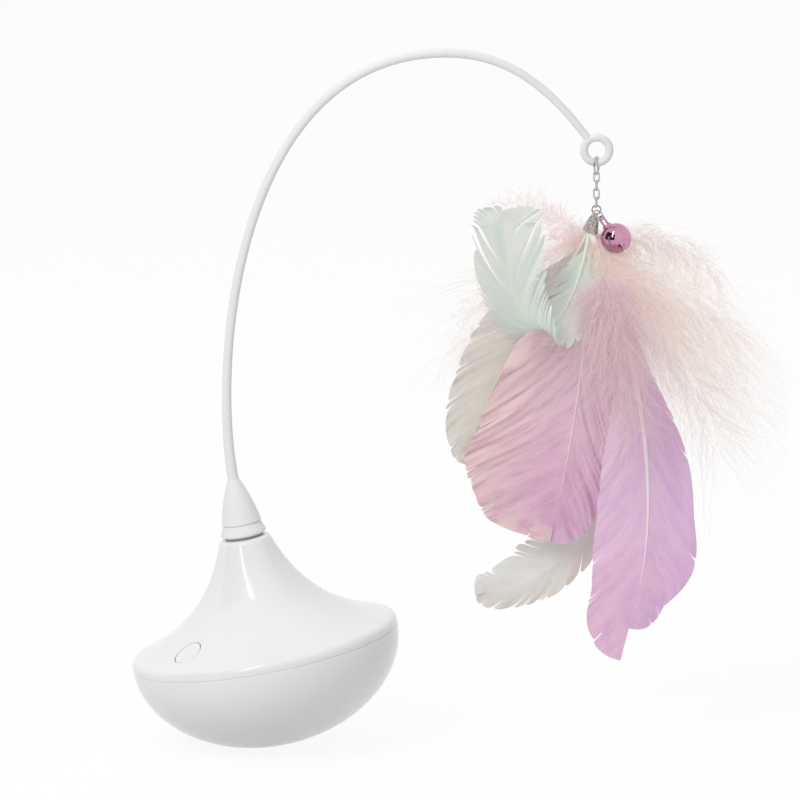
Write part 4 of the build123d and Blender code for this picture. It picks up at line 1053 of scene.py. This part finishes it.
@dataclass
class Plume:
    """A down plume: a soft mass of long fine threads, each with finer side threads."""

    node: str
    spine: Spine
    dye: DownDye
    seed: int
    threads: int = 1100
    reach: float = 30.0
    body: float = 8.0
    fall: float = 0.25
    flow: Point = (0.0, 0.0, 0.0)
    outward: float = 0.9
    radial: float = 0.7
    steps: int = 9
    side_threads: int = 26
    side_length: float = 1.9
    first_thread: float = 0.02
    clumps: int = 48
    curl: float = 0.4
    half_thread: float = 0.042
    half_side_thread: float = 0.02
    low: Point = (0.03, -0.05, 0.0)
    high: Point = (0.1885, 0.05, 0.24)

    def paths(self, rng: np.random.Generator) -> tuple[np.ndarray, np.ndarray]:
        """Work out the long threads.

        A thread starts near its own place on the spine. It leaves along the spine,
        outwards from it and away from the cap, each by its own share, and bends by the
        square of the share along it towards the flow, the fall and its clump's curl, with
        a small wave on top.

        Args:
            rng: The plume's own random numbers.

        Returns:
            The threads' points and one number for each thread.
        """
        count = self.threads
        root = self.first_thread + (1 - self.first_thread) * rng.beta(1.0, 1.6, count)
        centre, way, across, lift = self.spine.frame(root)
        turn = rng.uniform(0, math.tau, count)
        outward = np.cos(turn)[:, None] * across + 0.8 * np.sin(turn)[:, None] * lift
        away = unit(centre - np.array(self.spine.cap.mouth) * MM)
        start = unit(
            way * rng.uniform(0.1, 0.8, count)[:, None]
            + self.outward * outward
            + away * self.radial
            + rng.normal(0.0, 0.4, (count, 3))
        )
        room = np.clip(root / 0.3, 0.1, 1.0) * self.body * MM
        centre = centre + outward * (room * rng.uniform(0, 1, count))[:, None]
        sector = (np.floor(root * self.clumps / 6) * 6 + np.floor(turn / math.tau * 6)).astype(int)
        curls = rng.normal(0.0, self.curl, (self.clumps + 12, 3))[sector]
        curls = curls + rng.normal(0, 0.2, (count, 3))
        length = self.reach * MM * rng.uniform(0.35, 1.15, count)
        length = length * (0.6 + 0.4 * np.sin(math.pi * np.clip(root, 0.1, 0.9)))
        far = np.linspace(0.0, 1.0, self.steps)[None, :, None]
        bend = curls + np.array(self.flow) + np.array((0.0, 0.0, -self.fall))
        wave = np.sin(
            rng.uniform(3, 8, (count, 1, 1)) * far + rng.uniform(0, 6, (count, 1, 3))
        ) - np.sin(rng.uniform(0, 6, (count, 1, 3)))
        shape = start[:, None] * far * (1 - 0.15 * far) + bend[:, None] * far ** 2 + 0.05 * wave * far
        offsets = self.kept_inside(centre, length[:, None, None] * shape)
        return centre[:, None] + offsets, rng.uniform(0, 1, count)

    def kept_inside(self, centre: np.ndarray, offsets: np.ndarray) -> np.ndarray:
        """Shorten the threads that would leave the box from low to high.

        Args:
            centre: Where each thread starts.
            offsets: Its points, counted from there.

        Returns:
            The offsets, divided for each thread by how many times it reaches too far.
        """
        upwards = offsets.max(1) / np.maximum(np.array(self.high) - centre, 0.1 * MM)
        downwards = -offsets.min(1) / np.maximum(centre - np.array(self.low), 0.1 * MM)
        excess = np.maximum(1.0, np.maximum(upwards, downwards).max(-1))
        return offsets / excess[:, None, None]

    def side_triangles(
        self, rng: np.random.Generator, paths: np.ndarray, ways: np.ndarray
    ) -> tuple[np.ndarray, np.ndarray]:
        """Work out the side threads, each a thin triangle.

        Its foot is a random place on its thread. Its tip stands off across the thread and
        on along it, by less the nearer the foot is to the thread's end.

        Args:
            rng: The plume's own random numbers.
            paths: The threads' points.
            ways: Their directions there.

        Returns:
            The corners of the triangles and each one's share along its thread.
        """
        count, steps = paths.shape[:2]
        at = rng.uniform(0.0, 0.98, (count, self.side_threads))
        index = np.minimum((at * (steps - 1)).astype(int), steps - 2)
        share = (at * (steps - 1) - index)[..., None]
        rows = np.arange(count)[:, None]
        foot = paths[rows, index] * (1 - share) + paths[rows, index + 1] * share
        along = ways[rows, index]
        outward = unit(np.cross(along, rng.normal(0, 1, along.shape)))
        reach = self.side_length * MM * rng.uniform(0.4, 1.2, at.shape) * (1.05 - 0.8 * at)
        tip = foot + reach[..., None] * unit(outward + 0.9 * along)
        sideways = unit(np.cross(tip - foot, rng.normal(0, 1, tip.shape)))
        thick = sideways * self.half_side_thread * MM
        return np.stack((foot - thick, foot + thick, tip), 2), at

    def build(self) -> bpy.types.Object:
        """Make the plume as one piece.

        A long thread is a ribbon: its path to either side by half its width, which falls
        in a straight line towards its end.

        Returns:
            The piece, which rides with the lure.
        """
        rng = np.random.default_rng(self.seed)
        paths, tone = self.paths(rng)
        tone = tone[:, None, None]
        ways = unit(np.gradient(paths, axis=1))
        facing = unit(np.cross(ways, unit(rng.normal(0, 1, (len(paths), 1, 3)))))
        far = np.linspace(0.0, 1.0, self.steps)[None, :, None]
        half = self.half_thread * MM * (1.0 - 0.75 * far)
        rails = np.stack((paths - facing * half, paths + facing * half), 2)
        parts = Parts()
        parts.add(rails, ribbons(rails), (far, 0.0, tone), 0)
        corners, at = self.side_triangles(rng, paths, ways)
        triangles = np.arange(3 * at.size).reshape(-1, 3)
        parts.add(corners, triangles, (at[..., None], 0.0, tone), 0)
        return parts.piece(
            self.node + "_threads", self.node, "down_beige", [self.dye.material()]
        )


IVORY = shade(240, 232, 230)

LILAC = VaneDye(
    "lilac_vane",
    ((0.0, shade(190, 158, 184)), (0.3, shade(198, 164, 192)), (0.55, shade(218, 184, 210)),
     (0.8, shade(222, 184, 212)), (1.0, shade(220, 174, 202))),
    left=shade(226, 190, 211), left_share=0.4, right=shade(218, 178, 218), right_share=0.6,
    streak=shade(206, 160, 206),
)
PINK = VaneDye(
    "pink_vane",
    ((0.0, shade(218, 194, 204)), (0.35, shade(220, 192, 204)), (0.65, shade(220, 186, 202)),
     (0.85, shade(212, 166, 192)), (1.0, shade(206, 158, 194))),
    left=shade(222, 196, 189), left_share=0.85, right=shade(214, 179, 209), right_share=0.6,
    streak=shade(200, 150, 178), streak_share=0.7,
)
SAGE = VaneDye(
    "sage_vane",
    ((0.0, shade(208, 200, 194)), (0.5, shade(206, 199, 190)), (1.0, shade(216, 208, 198))),
    left=shade(212, 206, 198), left_share=0.6, right=shade(206, 194, 186), right_share=0.5,
    streak=shade(192, 190, 180),
)
WHITE = VaneDye(
    "white_vane",
    ((0.0, shade(216, 208, 208)), (0.5, shade(220, 218, 214)), (0.8, shade(226, 227, 222)),
     (1.0, shade(218, 214, 207))),
    left=shade(226, 228, 222), left_share=0.5, right=shade(226, 212, 196), right_share=0.6,
    streak=shade(206, 210, 204),
)
MINT = VaneDye(
    "mint_vane",
    ((0.0, shade(212, 226, 218)), (0.45, shade(216, 228, 220)), (0.75, shade(208, 214, 206)),
     (1.0, shade(216, 216, 210))),
    left=shade(210, 211, 205), left_share=0.6, right=shade(220, 228, 223), right_share=0.5,
    streak=shade(194, 212, 198), streak_share=0.6,
)
MAUVE = DownDye("down_mauve", shade(206, 176, 190), shade(218, 194, 202), shade(232, 214, 214))
MIST = DownDye("down_mist", shade(218, 196, 198), shade(230, 212, 210), shade(244, 232, 226))
SAND = DownDye("down_sand", shade(220, 200, 194), shade(232, 217, 211), shade(244, 233, 226))


@dataclass
class Lure:
    """The bunch of feathers and down under the cap."""

    feathers: tuple[Feather, ...] = (
        Feather(
            "lilac_feather",
            Spine(
                1, 5, ((0.107, -0.06, -0.267), (0.173, -0.07, -0.6), (0.106, -0.06, -0.862)), 150.0
            ),
            half_width=18.0,
            left=(0.02, 0.03, 0.1, 0.22, 0.35, 0.6, 0.85, 1.0, 1.0, 0.9),
            right=(0.02, 0.03, 0.1, 0.2, 0.33, 0.55, 0.8, 0.9, 0.97, 0.55),
            dye=LILAC, horn=QuillHorn("lilac_horn", IVORY, shade(236, 216, 228)), seed=11,
            slope=0.36, barbs=900, clumps=11, open_from=0.8, pull=0.12, notch=0.02, fray=0.005,
            beyond=(0.25, 0.08), tip_from=0.84, quill_radius=1.25,
        ),
        Feather(
            "pink_feather",
            Spine(
                0, 0, ((0.0, -0.04, -0.29), (-0.04, -0.04, -0.585), (-0.103, -0.04, -0.88)), 113.0
            ),
            half_width=33.0,
            left=(0.01, 0.02, 0.15, 0.42, 0.66, 0.8, 0.92, 1.02, 1.06, 0.9),
            right=(0.01, 0.02, 0.1, 0.25, 0.33, 0.4, 0.42, 0.45, 0.5, 0.4),
            dye=PINK, horn=QuillHorn("pink_horn", IVORY, shade(228, 204, 216)), seed=23,
            slope=0.85, barbs=900, clumps=14, open_from=0.75, pull=0.2, notch=0.03, fray=0.008,
            beyond=(0.1, 0.1), tip_from=0.72, folds=0.7, quill_radius=0.6,
        ),
        Feather(
            "sage_feather",
            Spine(1, 3, ((-0.09, 0.02, -0.22), (-0.33, 0.02, -0.44), (-0.42, 0.02, -0.83)), 100.0),
            half_width=16.0,
            left=(0.02, 0.04, 0.1, 0.4, 0.7, 0.9, 1.0, 0.9, 0.7, 0.35),
            right=(0.02, 0.04, 0.1, 0.4, 0.7, 0.9, 1.0, 0.95, 0.9, 0.6),
            dye=SAGE, horn=QuillHorn("sage_horn", IVORY, shade(226, 220, 210)), seed=37,
            slope=0.4, barbs=700, clumps=16, open_from=0.6, pull=0.3, notch=0.05,
        ),
        Feather(
            "white_feather",
            Spine(1, 1, ((0.02, 0.04, -0.44), (0.12, 0.04, -0.86), (-0.25, 0.04, -0.92)), 140.0),
            half_width=14.0,
            left=(0.02, 0.03, 0.1, 0.15, 0.25, 0.5, 0.85, 1.0, 0.9, 0.6),
            right=(0.02, 0.03, 0.1, 0.15, 0.25, 0.4, 0.6, 0.65, 0.65, 0.5),
            dye=WHITE, horn=QuillHorn("white_horn", IVORY, shade(234, 232, 226)), seed=41,
            slope=0.22, barbs=760, clumps=20, open_from=0.5, pull=0.4, notch=0.1,
            beyond=(0.05, 0.05), tip_from=0.9,
        ),
        Feather(
            "mint_feather",
            Spine(
                1, 4, ((-0.1, -0.3, -0.6), (-0.43, -0.52, -0.77), (-0.5, -0.4, 0.1)), 60.0,
                ((0.87, 0.0, -0.5), (1.0, 0.0, 0.25)),
            ),
            half_width=14.0,
            left=(0.02, 0.1, 0.4, 0.7, 0.7, 0.7, 0.75, 0.85, 0.9, 0.8),
            right=(0.02, 0.2, 0.6, 0.85, 0.85, 0.8, 0.75, 0.8, 1.0, 1.05),
            dye=MINT, horn=QuillHorn("mint_horn", shade(222, 234, 214), shade(214, 226, 206)), seed=53,
            slope=0.5, barbs=1300, clumps=34, open_from=0.1, pull=0.97, notch=0.12,
            beyond=(0.16, 0.16), tip_from=0.93, waves=0.9, folds=0.4, quill_radius=0.6,
        ),
    )
    plumes: tuple[Plume, ...] = (
        Plume(
            "down_right_high",
            Spine(2, 0, ((-0.02, 0.1, -0.16), (0.54, 0.26, 0.11), (0.71, 0.18, -0.36)), 60.0),
            SAND, seed=101, reach=16.0, body=4.0, outward=0.5, radial=0.2, flow=(0.1, 0.0, -0.2),
            fall=0.9,
        ),
        Plume(
            "down_right_middle",
            Spine(2, 5, ((0.03, -0.12, -0.3), (0.45, -0.16, -0.14), (0.73, -0.14, -0.58)), 75.0),
            SAND, seed=103, reach=27.0, outward=0.6, flow=(0.15, 0.1, -0.2), fall=0.9, threads=1400,
        ),
        Plume(
            "down_right_low",
            Spine(1, 0, ((0.01, 0.07, -0.23), (0.33, 0.13, -0.23), (0.49, 0.11, -0.88)), 95.0),
            SAND, seed=107, reach=36.0, flow=(0.3, 0.0, 0.0), fall=0.5, threads=1700,
        ),
        Plume(
            "down_front",
            Spine(2, 4, ((-0.01, -0.2, -0.18), (0.14, -0.3, -0.31), (0.19, -0.28, -0.93)), 75.0),
            MAUVE, seed=109, reach=27.0, fall=0.4, flow=(-0.15, 0.15, 0.0), threads=2200,
            first_thread=0.35,
        ),
        Plume(
            "down_left_low",
            Spine(2, 2, ((-0.1, 0.06, -0.2), (-0.44, 0.16, -0.13), (-0.6, 0.13, -0.73)), 80.0),
            MIST, seed=113, reach=22.0, fall=0.3, threads=900,
        ),
        Plume(
            "down_back",
            Spine(2, 1, ((0.01, 0.16, -0.26), (0.06, 0.23, -0.38), (0.01, 0.23, -0.92)), 85.0),
            MAUVE, seed=127, fall=0.3,
        ),
        Plume(
            "down_left_high",
            Spine(1, 2, ((-0.04, 0.16, -0.2), (-0.36, 0.26, 0.28), (-0.68, 0.15, 0.08)), 50.0),
            MIST, seed=131, reach=9.0, body=5.0, flow=(0.1, 0.0, 0.0), fall=0.2, threads=800,
        ),
    )

    def build(self) -> None:
        """Make every feather and plume."""
        for part in (*self.feathers, *self.plumes):
            part.build()


@dataclass
class Toy:
    """The pieces whose CAD shape is kept: shell, wand, drive, chain, cap and bell."""

    def dress(self) -> None:
        """Give every kept CAD node its slot's finish."""
        made: dict[str, bpy.types.Material] = {}
        slots = {row["node"]: row["material_slot"] for row in frame["record"]["subparts"]}
        for name, node in frame["nodes"].items():
            slot = slots[name]
            if slot not in Finish.__members__:
                continue
            if slot not in made:
                made[slot] = Finish[slot].value.material()
            node.data.materials.clear()
            node.data.materials.append(made[slot])
            log.info("%s: %s", name, slot)


@dataclass(frozen=True)
class Lamp:
    """One soft lamp, with its place, its width and height, and its power in watts."""

    name: str
    place: Point
    size: tuple[float, float]
    power: float
    mirrored: bool = False

    def hang(self, aim: Point) -> None:
        """Hang the lamp so that it points at the aim and isn't seen itself.

        Glossy surfaces show it only where it is mirrored.

        Args:
            aim: The point that its light goes to.
        """
        data = bpy.data.lights.new(self.name, "AREA")
        data.shape, data.energy = "RECTANGLE", self.power
        data.size, data.size_y = self.size
        lamp = bpy.data.objects.new(self.name, data)
        way = np.array(aim) - np.array(self.place)
        tilt = math.atan2(math.hypot(way[0], way[1]), -way[2])
        lamp.location = self.place
        lamp.rotation_euler = (tilt, 0.0, math.atan2(way[1], way[0]) - math.pi / 2)
        lamp.visible_camera = False
        lamp.visible_glossy = self.mirrored
        bpy.context.scene.collection.objects.link(lamp)


@dataclass
class Studio:
    """A pale floor, soft lamps and a camera at the photograph's angle."""

    elevation: float = 10.6
    aim: Point = (0.0523, 0.0, 0.1225)
    frame_width: float = 0.2784
    lens: float = 400.0
    sensor: float = 36.0
    sight: float = 50.0
    world_light: float = 0.5
    lamps: tuple[Lamp, ...] = (
        Lamp("key", (-0.9, -1.2, 1.3), (0.9, 0.9), 9.8),
        Lamp("fill", (1.3, -0.9, 0.7), (1.0, 1.0), 1.0),
        Lamp("top", (0.1, 0.5, 1.6), (1.2, 1.2), 5.4),
        Lamp("strip", (-0.55, -1.05, 1.15), (0.14, 1.2), 5.0, mirrored=True),
    )
    card_place: Point = (-1.3, -1.0, 0.3)
    card_size: float = 3.0
    card_grey: float = 0.02
    floor_half: float = 6.0
    floor_grey: float = 0.74
    floor_white: float = 1.04
    floor_share: float = 0.88

    def camera(self) -> None:
        """Set the camera back along its view until the frame is as wide as asked."""
        tilt = math.radians(self.elevation)
        back = self.frame_width * self.lens / self.sensor
        data = bpy.data.cameras.new("camera")
        data.lens, data.sensor_width = self.lens, self.sensor
        data.clip_end = self.sight
        camera = bpy.data.objects.new("camera", data)
        camera.location = (
            self.aim[0], self.aim[1] - back * math.cos(tilt), self.aim[2] + back * math.sin(tilt)
        )
        camera.rotation_euler = (math.pi / 2 - tilt, 0.0, 0.0)
        bpy.context.scene.collection.objects.link(camera)
        bpy.context.scene.camera = camera

    def card(self) -> None:
        """Stand a dark card that only mirrors see, so that bright metal shows its form.

        Its corners lie half its size to either side and up and down from its place,
        square to the line from there to the aim.
        """
        towards = unit(np.array(self.aim) - np.array(self.card_place))
        side = unit(np.cross(towards, (0.0, 0.0, 1.0))) * self.card_size / 2
        up = unit(np.cross(side, towards)) * self.card_size / 2
        corners = np.array(self.card_place) + np.array((-side - up, side - up, side + up, up - side))
        card = mesh_piece("card_left", corners, ONE_FACE, {})
        grey = (self.card_grey,) * 3
        card.data.materials.append(Shader("card_left_paper").close(Base_Color=grey, Roughness=0.9))
        for ray in ("camera", "diffuse", "transmission", "volume_scatter", "shadow"):
            setattr(card, "visible_" + ray, False)

    def seen(self, shader: Shader) -> Value:
        """Return 1 for rays from the eye, mirrors and glass, and 0 for light."""
        rays = [
            shader.add("ShaderNodeLightPath", output=name)
            for name in ("Is Camera Ray", "Is Glossy Ray", "Is Transmission Ray")
        ]
        return shader.add(
            "ShaderNodeMath", {"use_clamp": True}, {0: rays[0] + rays[1], 1: rays[2]}
        )

    def floor(self) -> None:
        """Lay a pale floor that is white to the eye and keeps the object's shadow."""
        half = self.floor_half
        points = np.array(((-half, -half, 0), (half, -half, 0), (half, half, 0), (-half, half, 0)))
        floor = mesh_piece("floor", points, ONE_FACE, {})
        shader = Shader("floor_paper")
        paper = shader.add("ShaderNodeBsdfDiffuse", inputs={"Color": (self.floor_grey,) * 3})
        white = shader.add(
            "ShaderNodeEmission", inputs={"Color": WHITE_LIGHT, "Strength": self.floor_white}
        )
        share = self.seen(shader) * self.floor_share
        shader.end(shader.add("ShaderNodeMixShader", inputs={0: share, 1: paper, 2: white}))
        floor.data.materials.append(shader.material)

    def sky(self) -> None:
        """Light from all round, and show white to the eye."""
        world = bpy.data.worlds.new("studio")
        bpy.context.scene.world = world
        world.use_nodes = True
        shader = Shader("studio", world.node_tree)
        seen = self.seen(shader)
        light = shader.add("ShaderNodeBackground", inputs={0: WHITE_LIGHT, 1: self.world_light})
        white = shader.add("ShaderNodeBackground", inputs={0: WHITE_LIGHT, 1: 1.0})
        mixed = shader.add("ShaderNodeMixShader", inputs={0: seen, 1: light, 2: white})
        shader.end(mixed, "ShaderNodeOutputWorld")

    def build(self) -> None:
        """Set up the view, the floor, the sky, the lamps and the card."""
        self.camera()
        self.floor()
        self.sky()
        for lamp in self.lamps:
            lamp.hang(self.aim)
        self.card()
        bpy.context.scene.view_settings.view_transform = "Standard"


def main() -> None:
    """Build the studio, dress the toy and make its feathers and down."""
    logging.basicConfig(level=logging.INFO, format="%(message)s")
    Studio().build()
    Toy().dress()
    Lure().build()


if __name__ == "__main__":
    main()
